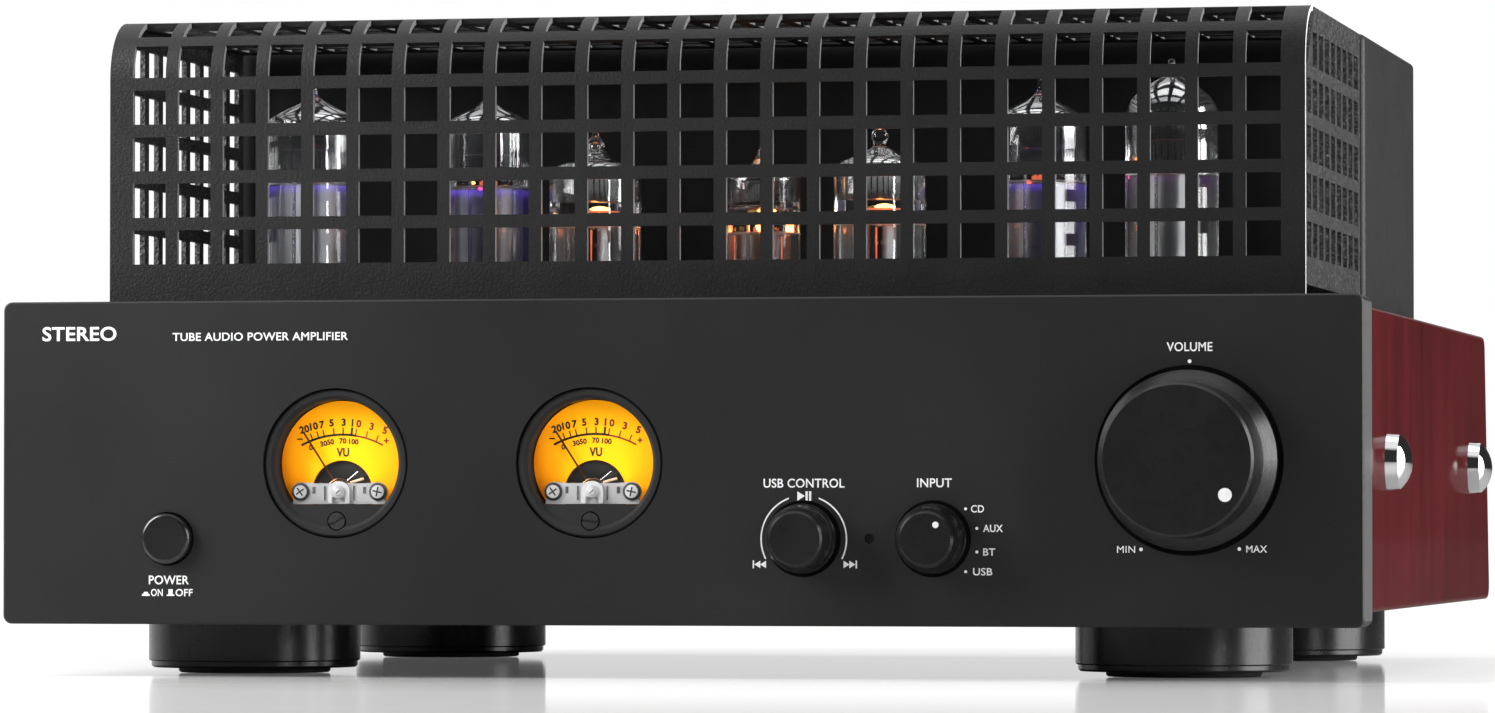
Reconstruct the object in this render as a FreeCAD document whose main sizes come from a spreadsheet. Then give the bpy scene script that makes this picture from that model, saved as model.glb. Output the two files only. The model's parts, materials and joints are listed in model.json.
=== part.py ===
import FreeCAD, Part
import math
import os
import Sketcher
from FreeCAD import Placement, Rotation, Vector

# Valve integrated amplifier. Millimetres, X to the right, Y to the back, Z up.
# The origin is on the resting plane, in the middle of the four feet.

DOC = FreeCAD.newDocument("TubeAmplifier")
SHEET = DOC.addObject("Spreadsheet::Sheet", "Dims")

DIMENSIONS = {
    # front panel
    "panel_width": 310.0,
    "panel_height": 73.0,
    "panel_thick": 15.0,
    "panel_bottom": 11.7,
    "panel_corner": 2.0,
    "panel_chamfer": 0.4,
    "face_setback": 138.0,
    # chassis and wooden sides
    "chassis_bottom": 14.9,
    "chassis_top": 82.2,
    "chassis_rear": 128.0,
    "sheet_steel": 1.5,
    "wood_thick": 10.0,
    "wood_rear_top": 131.0,
    "wood_rear_low": 142.0,
    "wood_corner": 4.0,
    "wood_edge": 1.0,
    "bolt_spacing": 184.0,
    "bolt_height": 48.3,
    "cap_base_radius": 6.6,
    "cap_side": 2.8,
    "dome_radius": 6.2,
    "dome_height": 2.8,
    "bolt_shank": 3.0,
    # feet
    "foot_x": 108.8,
    "foot_y": 92.0,
    "foot_radius": 24.5,
    "foot_lip_radius": 23.9,
    "foot_lip_low": 1.2,
    "foot_lip_high": 2.7,
    "pad_radius": 17.6,
    "screw_shank": 2.0,
    # perforated cage
    "cage_half": 138.7,
    "cage_top_half": 137.3,
    "cage_front": 109.5,
    "cage_rear": 3.3,
    "cage_top": 150.9,
    "cage_bend": 13.8,
    "cage_sheet": 1.2,
    "hole_pitch": 10.773,
    "hole_side": 7.85,
    "hole_columns": 25,
    "front_rows": 4,
    "top_rows": 8,
    "first_row": 98.1,
    "side_low": 87.8,
    "side_pitch": 11.3,
    "side_columns": 9,
    "side_first": 101.7,
    "side_cut": 17.0,
    # transformer cover
    "cover_half": 139.6,
    "cover_front": 1.3,
    "cover_rear": 106.3,
    "cover_top": 151.2,
    "cover_edge": 1.6,
    # valves
    "front_valve_y": 65.0,
    "rear_valve_y": 36.0,
    "outer_valve_x": 102.3,
    "mid_valve_x": 67.0,
    "inner_valve_x": 33.9,
    "valve_seat": 67.0,
    "valve_radius": 10.8,
    "small_valve_radius": 9.1,
    "glass_wall": 0.9,
    "valve_hole": 12.6,
    "small_valve_hole": 10.9,
    "socket_height": 10.0,
    "socket_radius": 11.5,
    "pin_circle": 5.95,
    "pin_radius": 0.5,
    "pin_length": 6.5,
    # electronics
    "board_height": 48.0,
    "board_thick": 1.6,
    # meters
    "meter_left_x": 77.0,
    "meter_right_x": 18.4,
    "meter_height": 48.0,
    "meter_hole": 16.9,
    "meter_bezel": 16.6,
    "meter_window": 14.4,
    "meter_flange": 20.0,
    "meter_can": 15.5,
    "meter_chord": 9.2,
    "pivot_drop": 6.4,
    "dial_arch": 7.1,
    "needle_length": 16.1,
    "needle_rest": 33.0,
    "zero_drop": 13.0,
    "zero_radius": 1.9,
    # controls
    "volume_x": 116.5,
    "volume_z": 48.3,
    "volume_face": 16.8,
    "volume_body": 17.2,
    "volume_flange": 19.8,
    "volume_reach": 19.0,
    "volume_dot_angle": 126.0,
    "volume_dot_radius": 13.0,
    "small_knob_z": 31.1,
    "usb_x": 30.35,
    "input_x": 59.6,
    "small_base": 7.75,
    "small_body": 7.4,
    "small_face": 6.1,
    "small_reach": 9.6,
    "input_dot_angle": 36.0,
    "input_dot_radius": 3.8,
    "knob_gap": 0.5,
    "jog_gap": 0.9,
    "shaft_radius": 3.0,
    "bush_bore": 3.06,
    "bush_relief": 3.35,
    "bush_radius": 4.0,
    "bush_hole": 4.3,
    "button_x": 116.1,
    "button_z": 31.0,
    "button_radius": 5.75,
    "button_hole": 6.1,
    "button_reach": 2.4,
    "button_travel": 3.0,
    "sensor_x": 45.3,
    "sensor_radius": 1.1,
    # back
    "speaker_reach": 29.0,
}


class Size:
    """A length together with the sheet formula it comes from."""

    def __init__(self, value, text):
        self.value = float(value)
        self.text = text

    def joined(self, other, sign, value):
        return Size(value, "(%s %s %s)" % (self.text, sign, other.text))

    def __add__(self, other):
        other = as_size(other)
        return self.joined(other, "+", self.value + other.value)

    def __radd__(self, other):
        return as_size(other) + self

    def __sub__(self, other):
        other = as_size(other)
        return self.joined(other, "-", self.value - other.value)

    def __rsub__(self, other):
        return as_size(other) - self

    def __mul__(self, other):
        other = as_size(other)
        return self.joined(other, "*", self.value * other.value)

    def __rmul__(self, other):
        return as_size(other) * self

    def __truediv__(self, other):
        other = as_size(other)
        return self.joined(other, "/", self.value / other.value)

    def __neg__(self):
        return Size(-self.value, "(0 - %s)" % self.text)

    def __float__(self):
        return self.value


def as_size(number):
    if isinstance(number, Size):
        return number
    if number < 0:
        return Size(number, "(0 - %.6f)" % -number)
    return Size(number, "%.6f" % number)


def fill_sheet():
    for row, (name, value) in enumerate(DIMENSIONS.items(), start=1):
        SHEET.set("A%d" % row, name)
        SHEET.set("B%d" % row, "%g" % value)
        SHEET.setAlias("B%d" % row, name)
    DOC.recompute()


def dim(name):
    return Size(SHEET.get(name), "Dims." + name)


def bind(obj, prop, size):
    """Set a property and tie it to the sheet."""
    size = as_size(size)
    setattr(obj, prop, size.value)
    if "Dims." in size.text:
        obj.setExpression(prop, size.text)


def place(obj, x=0.0, y=0.0, z=0.0, rotation=None):
    spot = [as_size(x), as_size(y), as_size(z)]
    base = Vector(*[part.value for part in spot])
    obj.Placement = Placement(base, rotation or Rotation())
    for axis, part in zip("xyz", spot):
        if "Dims." in part.text:
            obj.setExpression("Placement.Base." + axis, part.text)
    return obj


# ---- Part primitives and booleans -------------------------------------------------

TURN = {
    "x": Rotation(Vector(0, 1, 0), 90),
    "y": Rotation(Vector(1, 0, 0), -90),
    "z": Rotation(),
}


def box(name, x_span, y_span, z_span):
    """Box between two values on each axis."""
    obj = DOC.addObject("Part::Box", name)
    bind(obj, "Length", as_size(x_span[1]) - x_span[0])
    bind(obj, "Width", as_size(y_span[1]) - y_span[0])
    bind(obj, "Height", as_size(z_span[1]) - z_span[0])
    return place(obj, x_span[0], y_span[0], z_span[0])


def block(name, centre, sizes):
    """Box from its middle and its three sizes."""
    spans = [(as_size(c) - as_size(s) / 2, as_size(c) + as_size(s) / 2)
             for c, s in zip(centre, sizes)]
    return box(name, *spans)


def rod(name, radius, start, length, axis="z"):
    """Cylinder from a start point along an axis."""
    obj = DOC.addObject("Part::Cylinder", name)
    bind(obj, "Radius", radius)
    bind(obj, "Height", length)
    return place(obj, start[0], start[1], start[2], TURN[axis])


def fuse(name, items):
    obj = DOC.addObject("Part::MultiFuse", name)
    obj.Shapes = items
    obj.Refine = True
    return obj


def common(name, items):
    obj = DOC.addObject("Part::MultiCommon", name)
    obj.Shapes = items
    return obj


def group(name, items):
    obj = DOC.addObject("Part::Compound", name)
    obj.Links = items
    return obj


def cut(name, base, tools):
    obj = DOC.addObject("Part::Cut", name)
    obj.Base = base
    obj.Tool = tools[0] if len(tools) == 1 else fuse(name + "_tool", tools)
    return obj


def carry(name, source, x=0.0, y=0.0, z=0.0, rotation=None):
    """A placed copy of another object."""
    return place(group(name, [source]), x, y, z, rotation)


def mirror(name, source, normal):
    obj = DOC.addObject("Part::Mirroring", name)
    obj.Source = source
    obj.Normal = normal
    return obj


def four_corners(name, source):
    """The object and its mirror images left to right and front to back."""
    across = mirror(name + "_across", source, Vector(1, 0, 0))
    behind = mirror(name + "_behind", source, Vector(0, 1, 0))
    diagonal = mirror(name + "_diagonal", across, Vector(0, 1, 0))
    return group(name, [source, across, behind, diagonal])


# ---- PartDesign helpers -----------------------------------------------------------

def new_body(name):
    body = DOC.addObject("PartDesign::Body", name)
    body.Label = name
    return body


def new_sketch(body, plane, name):
    sketch = body.newObject("Sketcher::SketchObject", name)
    for datum in body.Origin.OriginFeatures:
        if datum.Role == plane:
            sketch.AttachmentSupport = [(datum, "")]
    sketch.MapMode = "FlatFace"
    return sketch


def fix_axis(sketch, kind, line, geometry, end, size):
    """Hold one coordinate of a point, measured from the sketch origin."""
    size = as_size(size)
    if abs(size.value) < 1e-9:
        sketch.addConstraint(Sketcher.Constraint("PointOnObject", geometry, end, line))
        return
    if size.value > 0:
        rule = Sketcher.Constraint(kind, -1, 1, geometry, end, size.value)
    else:
        size = -size
        rule = Sketcher.Constraint(kind, geometry, end, -1, 1, size.value)
    index = sketch.addConstraint(rule)
    if "Dims." in size.text:
        sketch.setExpression("Constraints[%d]" % index, size.text)


def fix_point(sketch, geometry, end, spot):
    fix_axis(sketch, "DistanceX", -2, geometry, end, spot[0])
    fix_axis(sketch, "DistanceY", -1, geometry, end, spot[1])


def fix_radius(sketch, geometry, radius):
    radius = as_size(radius)
    rule = Sketcher.Constraint("Radius", geometry, radius.value)
    index = sketch.addConstraint(rule)
    if "Dims." in radius.text:
        sketch.setExpression("Constraints[%d]" % index, radius.text)


def bulging_arc(start, finish, radius, side):
    """Arc of a given radius; side +1 bulges to the left of start-to-finish."""
    chord = finish - start
    half = chord.Length / 2
    sagitta = radius - math.sqrt(max(radius * radius - half * half, 0.0))
    left = Vector(-chord.y, chord.x, 0).normalize()
    middle = (start + finish) * 0.5 + left * (side * sagitta)
    return Part.Arc(start, middle, finish)


def draw_outline(sketch, corners, arcs=None):
    """Closed outline; arcs maps a segment number to (radius, side)."""
    arcs = arcs or {}
    points = [Vector(float(x), float(y), 0) for x, y in corners]
    first_ends = []
    for number, start in enumerate(points):
        finish = points[(number + 1) % len(points)]
        if number in arcs:
            radius, side = arcs[number]
            curve = bulging_arc(start, finish, float(radius), side)
        else:
            curve = Part.LineSegment(start, finish)
        index = sketch.addGeometry(curve, False)
        near_start = (sketch.getPoint(index, 1) - start).Length < 1e-6
        first_ends.append((index, 1 if near_start else 2))
    for number, (index, end) in enumerate(first_ends):
        before, before_end = first_ends[number - 1]
        rule = Sketcher.Constraint("Coincident", before, 3 - before_end, index, end)
        sketch.addConstraint(rule)
    for (index, end), corner in zip(first_ends, corners):
        fix_point(sketch, index, end, corner)
    for number, (radius, side) in arcs.items():
        fix_radius(sketch, first_ends[number][0], radius)
    return sketch


def draw_rectangle(sketch, x_span, y_span):
    low, high = x_span
    bottom, top = y_span
    return draw_outline(sketch, [(low, bottom), (high, bottom), (high, top), (low, top)])


def draw_circle(sketch, x, y, radius):
    centre = Vector(float(x), float(y), 0)
    curve = Part.Circle(centre, Vector(0, 0, 1), float(radius))
    index = sketch.addGeometry(curve, False)
    fix_point(sketch, index, 3, (x, y))
    fix_radius(sketch, index, radius)


def pad(body, sketch, length, name="Pad"):
    feature = body.newObject("PartDesign::Pad", name)
    feature.Profile = sketch
    bind(feature, "Length", length)
    return feature


def pocket(body, sketch, name="Pocket", depth=None):
    """Cut that always goes into the material; through all when no depth is given."""
    DOC.recompute()
    before = body.Shape.Volume
    feature = body.newObject("PartDesign::Pocket", name)
    feature.Profile = sketch
    if depth is None:
        feature.Type = "ThroughAll"
    else:
        bind(feature, "Length", depth)
    DOC.recompute()
    if feature.Shape.isNull() or body.Shape.Volume > before - 1e-3:
        feature.Reversed = True
        DOC.recompute()
    return feature


def repeat(body, feature, sketch, axis, pitch, count):
    """Linear pattern of one feature along a sketch axis."""
    count = as_size(count)
    row = body.newObject("PartDesign::LinearPattern", feature.Name + "_row")
    row.Originals = [feature]
    row.Direction = (sketch, [axis])
    bind(row, "Length", pitch * (count - 1))
    body.Tip = row
    row.Occurrences = int(round(count.value))
    row.setExpression("Occurrences", count.text)
    DOC.recompute()
    return row


def revolve(body, sketch, axis="V_Axis"):
    feature = body.newObject("PartDesign::Revolution", "Revolution")
    feature.Profile = sketch
    feature.ReferenceAxis = (sketch, [axis])
    feature.Angle = 360.0
    return feature


def dress(body, kind, feature, size, wanted, name):
    """Chamfer or fillet every edge that the test accepts."""
    DOC.recompute()
    edges = ["Edge%d" % number
             for number, edge in enumerate(feature.Shape.Edges, start=1) if wanted(edge)]
    finish = body.newObject("PartDesign::" + kind, name)
    finish.Base = (feature, edges)
    bind(finish, "Size" if kind == "Chamfer" else "Radius", size)
    return finish


def on_plane(edge, axis, value):
    spots = edge.discretize(3)
    return all(abs(getattr(spot, axis) - float(value)) < 1e-4 for spot in spots)


def turned_body(name, corners, arcs=None, plane="XZ_Plane"):
    """Solid of revolution from a half outline of (radius, height) points."""
    body = new_body(name)
    sketch = new_sketch(body, plane, name + "_profile")
    draw_outline(sketch, corners, arcs)
    revolve(body, sketch)
    return body


def rounded_corners(half_width, low, high, radius):
    """Corner points and arcs of a rectangle with rounded corners."""
    x, r = half_width, radius
    corners = [(-x + r, low), (x - r, low), (x, low + r), (x, high - r),
               (x - r, high), (-x + r, high), (-x, high - r), (-x, low + r)]
    return corners, {number: (r, -1) for number in (1, 3, 5, 7)}


# ---- Front panel ------------------------------------------------------------------

def panel_rear():
    """Y of the panel's rear face."""
    return dim("panel_thick") - dim("face_setback")


def build_front_panel():
    body = new_body("front_panel")
    half = dim("panel_width") / 2
    low = dim("panel_bottom")
    corners, arcs = rounded_corners(half, low, low + dim("panel_height"), dim("panel_corner"))
    outline = draw_outline(new_sketch(body, "XZ_Plane", "panel_outline"), corners, arcs)
    plate = pad(body, outline, dim("panel_thick"))
    dress(body, "Chamfer", plate, dim("panel_chamfer"),
          lambda edge: on_plane(edge, "y", -float(dim("panel_thick"))), "panel_edge")
    holes = new_sketch(body, "XZ_Plane", "panel_holes")
    for x in (dim("meter_left_x"), dim("meter_right_x")):
        draw_circle(holes, -x, dim("meter_height"), dim("meter_hole"))
    draw_circle(holes, -dim("button_x"), dim("button_z"), dim("button_hole"))
    draw_circle(holes, dim("usb_x"), dim("small_knob_z"), dim("bush_hole"))
    draw_circle(holes, dim("input_x"), dim("small_knob_z"), dim("bush_hole"))
    draw_circle(holes, dim("volume_x"), dim("volume_z"), dim("bush_hole"))
    draw_circle(holes, dim("sensor_x"), dim("small_knob_z"), dim("sensor_radius"))
    pocket(body, holes)
    return place(body, 0, panel_rear(), 0)


# ---- Chassis ----------------------------------------------------------------------

def inner_half():
    """Half width of the steel chassis between the wooden sides."""
    return dim("panel_width") / 2 - dim("wood_thick")


def build_chassis_tray():
    half = inner_half()
    wall = dim("sheet_steel")
    low = dim("chassis_bottom")
    front = panel_rear()
    rear = dim("chassis_rear")
    top = dim("chassis_top") - wall
    floor = box("tray_floor", (-half, half), (front, rear), (low, low + wall))
    left = box("tray_left", (-half, wall - half), (front, rear), (low, top))
    right = box("tray_right", (half - wall, half), (front, rear), (low, top))
    lip = box("tray_lip", (-half, half), (front, front + wall), (low, low + 4))
    posts = []
    for number, (x, y) in enumerate((x, y) for x in (-125, 0, 125) for y in (-68, 104)):
        height = dim("board_height") - low - wall
        posts.append(rod("tray_post_%d" % number, 3.0, (x, y, low + wall), height))
    shell = fuse("tray_shell", [floor, left, right, lip] + posts)
    slots = [block("tray_slot_%d" % n, (24.0 * (n - 2), 10.0, low), (3.0, 70.0, 8.0))
             for n in range(5)]
    holes = [rod("tray_screw_hole_%d" % n, dim("screw_shank") + 0.05,
                 (dim("foot_x") * across, dim("foot_y") * along, low - 1), 4.0)
             for n, (across, along) in enumerate(((1, 1), (1, -1), (-1, 1), (-1, -1)))]
    return cut("chassis_tray", shell, slots + holes)


def valve_spots():
    """Name, centre and hole radius of the seven valves, left to right."""
    front = -dim("front_valve_y")
    rear = -dim("rear_valve_y")
    wide = dim("valve_hole")
    return [
        ("valve_1", -dim("outer_valve_x"), front, wide),
        ("valve_2", -dim("mid_valve_x"), rear, wide),
        ("valve_3", -dim("inner_valve_x"), front, wide),
        ("valve_4", as_size(0), rear, dim("small_valve_hole")),
        ("valve_5", dim("inner_valve_x"), front, wide),
        ("valve_6", dim("mid_valve_x"), rear, wide),
        ("valve_7", dim("outer_valve_x"), front, wide),
    ]


def build_top_plate():
    body = new_body("top_plate")
    sketch = new_sketch(body, "XY_Plane", "top_outline")
    half = inner_half()
    draw_rectangle(sketch, (-half, half), (panel_rear(), dim("chassis_rear")))
    pad(body, sketch, dim("sheet_steel"))
    holes = new_sketch(body, "XY_Plane", "valve_holes")
    for name, x, y, radius in valve_spots():
        draw_circle(holes, x, y, radius)
    for x in (-92.0, 0.0, 92.0):
        draw_circle(holes, x, 92.0, 6.0)
    pocket(body, holes)
    return place(body, 0, 0, dim("chassis_top") - dim("sheet_steel"))


REAR_JACK_X = (-20.0, 0.0, 22.0, 42.0)
REAR_TERMINAL_X = (-118.0, -98.0, -70.0, -50.0)
REAR_SOCKET_Z = 50.0
INLET_X = 100.0


def build_rear_panel():
    half = inner_half() - dim("sheet_steel") - 0.1
    wall = dim("sheet_steel")
    rear = dim("chassis_rear")
    low = dim("chassis_bottom") + wall
    plate = box("rear_plate", (-half, half), (rear - wall, rear),
                (low, dim("chassis_top") - wall))
    holes = [rod("rear_jack_hole_%d" % n, 4.3, (x, rear - 5, REAR_SOCKET_Z), 10.0, "y")
             for n, x in enumerate(REAR_JACK_X)]
    holes += [rod("rear_terminal_hole_%d" % n, 5.2, (x, rear - 5, REAR_SOCKET_Z), 10.0, "y")
              for n, x in enumerate(REAR_TERMINAL_X)]
    holes.append(block("rear_inlet_hole", (INLET_X, rear, REAR_SOCKET_Z), (27.6, 10.0, 20.6)))
    return cut("rear_panel", plate, holes)


def build_wood_side(name, side):
    body = new_body(name)
    sketch = new_sketch(body, "YZ_Plane", name + "_outline")
    low = dim("chassis_bottom")
    high = dim("chassis_top")
    front = panel_rear()
    rear_low = dim("wood_rear_low")
    rear_top = dim("wood_rear_top")
    corners = [(front, low), (rear_low, low), (rear_top, high), (front, high)]
    draw_outline(sketch, corners)
    plank = pad(body, sketch, dim("wood_thick"))
    rounding = dress(body, "Fillet", plank, dim("wood_corner"),
                     lambda edge: edge.BoundBox.YMin > float(rear_top) - 1
                     and edge.BoundBox.ZLength < 0.1, name + "_corners")
    outside = float(dim("wood_thick")) if side > 0 else 0.0
    near_rear = float(front) + 1.0
    dress(body, "Fillet", rounding, dim("wood_edge"),
          lambda edge: on_plane(edge, "x", outside) and edge.CenterOfMass.y > near_rear,
          name + "_edge")
    holes = new_sketch(body, "YZ_Plane", name + "_holes")
    for y in (-dim("bolt_spacing") / 2, dim("bolt_spacing") / 2):
        draw_circle(holes, y, dim("bolt_height"), dim("bolt_shank") + 0.3)
    pocket(body, holes)
    edge = dim("panel_width") / 2
    return place(body, inner_half() if side > 0 else -edge, 0, 0)


def build_side_cap_bolts():
    """Round domed cap bolts that hold the wooden sides."""
    face = dim("panel_width") / 2
    height = dim("bolt_height")
    along = -dim("bolt_spacing") / 2
    rim = dim("dome_radius")
    rise = dim("dome_height")
    ball_radius = (rim * rim + rise * rise) / (rise * 2)
    flank = DOC.addObject("Part::Cone", "bolt_flank")
    bind(flank, "Radius1", dim("cap_base_radius"))
    bind(flank, "Radius2", rim)
    bind(flank, "Height", dim("cap_side"))
    place(flank, face, along, height, TURN["x"])
    ball = DOC.addObject("Part::Sphere", "bolt_ball")
    bind(ball, "Radius", ball_radius)
    side_end = face + dim("cap_side")
    place(ball, side_end + rise - ball_radius, along, height)
    disc = rod("bolt_disc", rim, (side_end - 0.5, along, height), rise + 1, "x")
    dome = common("bolt_dome", [ball, disc])
    shank = rod("bolt_shank_rod", dim("bolt_shank"),
                (inner_half() + 0.05, along, height), dim("wood_thick"), "x")
    bolt = fuse("bolt_front_right", [flank, dome, shank])
    return four_corners("side_cap_bolts", bolt)


# ---- Feet -------------------------------------------------------------------------

def build_feet():
    low, high = dim("foot_lip_low"), dim("foot_lip_high")
    top = dim("chassis_bottom")
    outer, lip = dim("foot_radius"), dim("foot_lip_radius")
    shank = dim("screw_shank")
    corners = [(shank + 0.3, low + 4), (5.0, low + 4), (5.0, low), (lip - 0.5, low),
               (lip, low + 0.5), (lip, high), (outer - 0.3, high), (outer, high + 0.3),
               (outer, top - 0.4), (outer - 0.4, top), (shank + 0.3, top)]
    foot = turned_body("foot_shell", corners)
    place(foot, dim("foot_x"), -dim("foot_y"), 0)
    pad_disc = turned_body("foot_pad", [(5.0, 0), (dim("pad_radius") - 0.4, 0),
                                        (dim("pad_radius"), 0.4), (dim("pad_radius"), low),
                                        (5.0, low)])
    place(pad_disc, dim("foot_x"), -dim("foot_y"), 0)
    head = low + 4
    screw = turned_body("foot_screw", [(0, head - 2.6), (3.6, head - 2.6), (4.0, head - 2.2),
                                       (4.0, head), (shank, head), (shank, top + 1.5),
                                       (0, top + 1.5)])
    place(screw, dim("foot_x"), -dim("foot_y"), 0)
    return [
        four_corners("feet_shells", foot),
        four_corners("feet_pads", pad_disc),
        four_corners("feet_screws", screw),
    ]


# ---- Perforated cage --------------------------------------------------------------

def hole_centres(count, pitch, middle=0.0):
    return [middle + pitch * (number - (count - 1) / 2) for number in range(count)]


def square_wire(u, v, side, to_space):
    """Closed square around (u, v), mapped to space by a function."""
    half = side / 2
    ring = [(u - half, v - half), (u + half, v - half), (u + half, v + half), (u - half, v + half)]
    spots = [to_space(a, b) for a, b in ring]
    return Part.makePolygon(spots + [spots[0]])


def punched_plate(u_span, v_span, holes, side, to_space, thickness):
    """Flat sheet with square holes, extruded along a thickness vector."""
    ring = [(u_span[0], v_span[0]), (u_span[1], v_span[0]),
            (u_span[1], v_span[1]), (u_span[0], v_span[1])]
    spots = [to_space(a, b) for a, b in ring]
    wires = [Part.makePolygon(spots + [spots[0]])]
    wires += [square_wire(u, v, side, to_space) for u, v in holes]
    return Part.Face(wires, "Part::FaceMakerBullseye").extrude(thickness)


def bend_sector(radius, thickness, start, finish, x_low, x_high, centre):
    """Part of the quarter bend between two angles above the horizontal."""
    inner = radius - thickness
    ring = [centre + Vector(0, -r * math.cos(a), r * math.sin(a))
            for r, a in ((inner, start), (radius, start), (radius, finish), (inner, finish))]
    middle = (start + finish) / 2
    outer_mid = centre + Vector(0, -radius * math.cos(middle), radius * math.sin(middle))
    inner_mid = centre + Vector(0, -inner * math.cos(middle), inner * math.sin(middle))
    edges = [
        Part.makeLine(ring[0], ring[1]),
        Part.Arc(ring[1], outer_mid, ring[2]).toShape(),
        Part.makeLine(ring[2], ring[3]),
        Part.Arc(ring[3], inner_mid, ring[0]).toShape(),
    ]
    face = Part.Face(Part.Wire(edges))
    face.translate(Vector(x_low, 0, 0))
    return face.extrude(Vector(x_high - x_low, 0, 0))


def build_cage_front():
    """Front sheet bent back over the top, punched with one grid of square holes."""
    half = float(dim("cage_half"))
    top_half = float(dim("cage_top_half"))
    front = -float(dim("cage_front"))
    rear = -float(dim("cage_rear"))
    top = float(dim("cage_top"))
    bend = float(dim("cage_bend"))
    sheet = float(dim("cage_sheet"))
    pitch = float(dim("hole_pitch"))
    side = float(dim("hole_side"))
    first_row = float(dim("first_row"))
    rows = int(float(dim("front_rows")))
    columns = hole_centres(int(float(dim("hole_columns"))), pitch)
    bend_low = top - bend
    bend_back = front + bend
    front_holes = [(x, first_row + pitch * row) for row in range(rows) for x in columns]
    upright = punched_plate((-half, half), (float(dim("chassis_top")), bend_low), front_holes,
                            side, lambda u, v: Vector(u, front, v), Vector(0, sheet, 0))
    arc_length = bend * math.pi / 2
    first_top = bend_back + (first_row + pitch * (rows + 2) - bend_low - arc_length)
    top_holes = [(x, first_top + pitch * row)
                 for row in range(int(float(dim("top_rows")))) for x in columns]
    roof_start = bend_back + 0.2
    roof = punched_plate((-top_half, top_half), (roof_start, rear), top_holes,
                         side, lambda u, v: Vector(u, v, top), Vector(0, 0, -sheet))
    seam = Part.makeBox(2 * half, 0.2, sheet, Vector(-half, bend_back, top - sheet))
    centre = Vector(0, bend_back, bend_low)
    curve = bend_sector(bend, sheet, 0, math.pi / 2, -half, half, centre)
    cutters = []
    for row in (rows, rows + 1):
        middle = (first_row + pitch * row - bend_low) / bend
        reach = side / 2 / bend
        for x in columns:
            cutters.append(bend_sector(bend + 1, sheet + 2, middle - reach, middle + reach,
                                       x - side / 2, x + side / 2, centre))
    curve = curve.cut(Part.makeCompound(cutters))
    whole = upright.fuse([curve, seam, roof]).removeSplitter()
    obj = DOC.addObject("Part::Feature", "cage_front_sheet")
    obj.Shape = whole.Solids[0]
    return obj


def build_cage_side(name, side):
    body = new_body(name)
    sketch = new_sketch(body, "YZ_Plane", name + "_outline")
    front = dim("cage_sheet") - dim("cage_front") + 0.05
    rear = -dim("cage_rear")
    low = dim("side_low")
    top = dim("cage_top")
    corners = [(front, low), (rear, low), (rear, top),
               (front + dim("side_cut"), top), (front, top - dim("side_cut"))]
    draw_outline(sketch, corners)
    pad(body, sketch, dim("cage_sheet"))
    half = dim("hole_side") / 2
    rows = int(float(dim("front_rows")))
    first = -dim("side_first")
    column = new_sketch(body, "YZ_Plane", name + "_column")
    for row in range(rows):
        z = dim("first_row") + dim("hole_pitch") * row
        draw_rectangle(column, (first - half, first + half), (z - half, z + half))
    repeat(body, pocket(body, column, name + "_slots"), column, "H_Axis",
           dim("side_pitch"), dim("side_columns"))
    upper = new_sketch(body, "YZ_Plane", name + "_upper")
    y = first + dim("side_pitch")
    z = dim("first_row") + dim("hole_pitch") * rows
    draw_rectangle(upper, (y - half, y + half), (z - half, z + half))
    repeat(body, pocket(body, upper, name + "_upper_slots"), upper, "H_Axis",
           dim("side_pitch"), dim("side_columns") - 1)
    gap = 0.05
    inner = dim("cage_top_half") + gap
    return place(body, inner if side > 0 else -(inner + dim("cage_sheet")), 0, 0)


def build_transformer_cover():
    body = new_body("transformer_cover")
    sketch = new_sketch(body, "XY_Plane", "cover_outline")
    half = dim("cover_half")
    front = -dim("cover_front")
    rear = dim("cover_rear")
    height = dim("cover_top") - dim("chassis_top")
    draw_rectangle(sketch, (-half, half), (front, rear))
    shell = pad(body, sketch, height)
    dress(body, "Fillet", shell, dim("cover_edge"),
          lambda edge: not on_plane(edge, "z", 0), "cover_rounding")
    hollow = new_sketch(body, "XY_Plane", "cover_hollow")
    wall = dim("sheet_steel")
    draw_rectangle(hollow, (wall - half, half - wall), (front + wall, rear - wall))
    pocket(body, hollow, "hollow", height - wall)
    return place(body, 0, 0, dim("chassis_top"))


# ---- Valves -----------------------------------------------------------------------

def envelope(name, radius, shoulder, waist, cone, tip, crown):
    """Blown glass bulb standing on z = 0: straight wall, shoulder, cone and tip."""
    wall = dim("glass_wall")
    waist_radius = radius * waist
    corners = [
        (0, 0),
        (radius - 1.5, 0),
        (radius, 1.5),
        (radius, shoulder),
        (waist_radius, shoulder + cone * 0.55),
        (tip, shoulder + cone),
        (tip, crown - tip),
        (0, crown),
        (0, shoulder + cone - wall),
        (waist_radius - 0.3, shoulder + cone * 0.55 - wall),
        (radius - wall, shoulder - 0.5),
        (radius - wall, 3.0),
        (0, 3.0),
    ]
    bulge = radius * (1 - waist) * 1.15 + cone * 0.3
    arcs = {1: (1.5, -1), 3: (bulge, -1), 6: (tip, -1)}
    return turned_body(name, corners, arcs)


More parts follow.
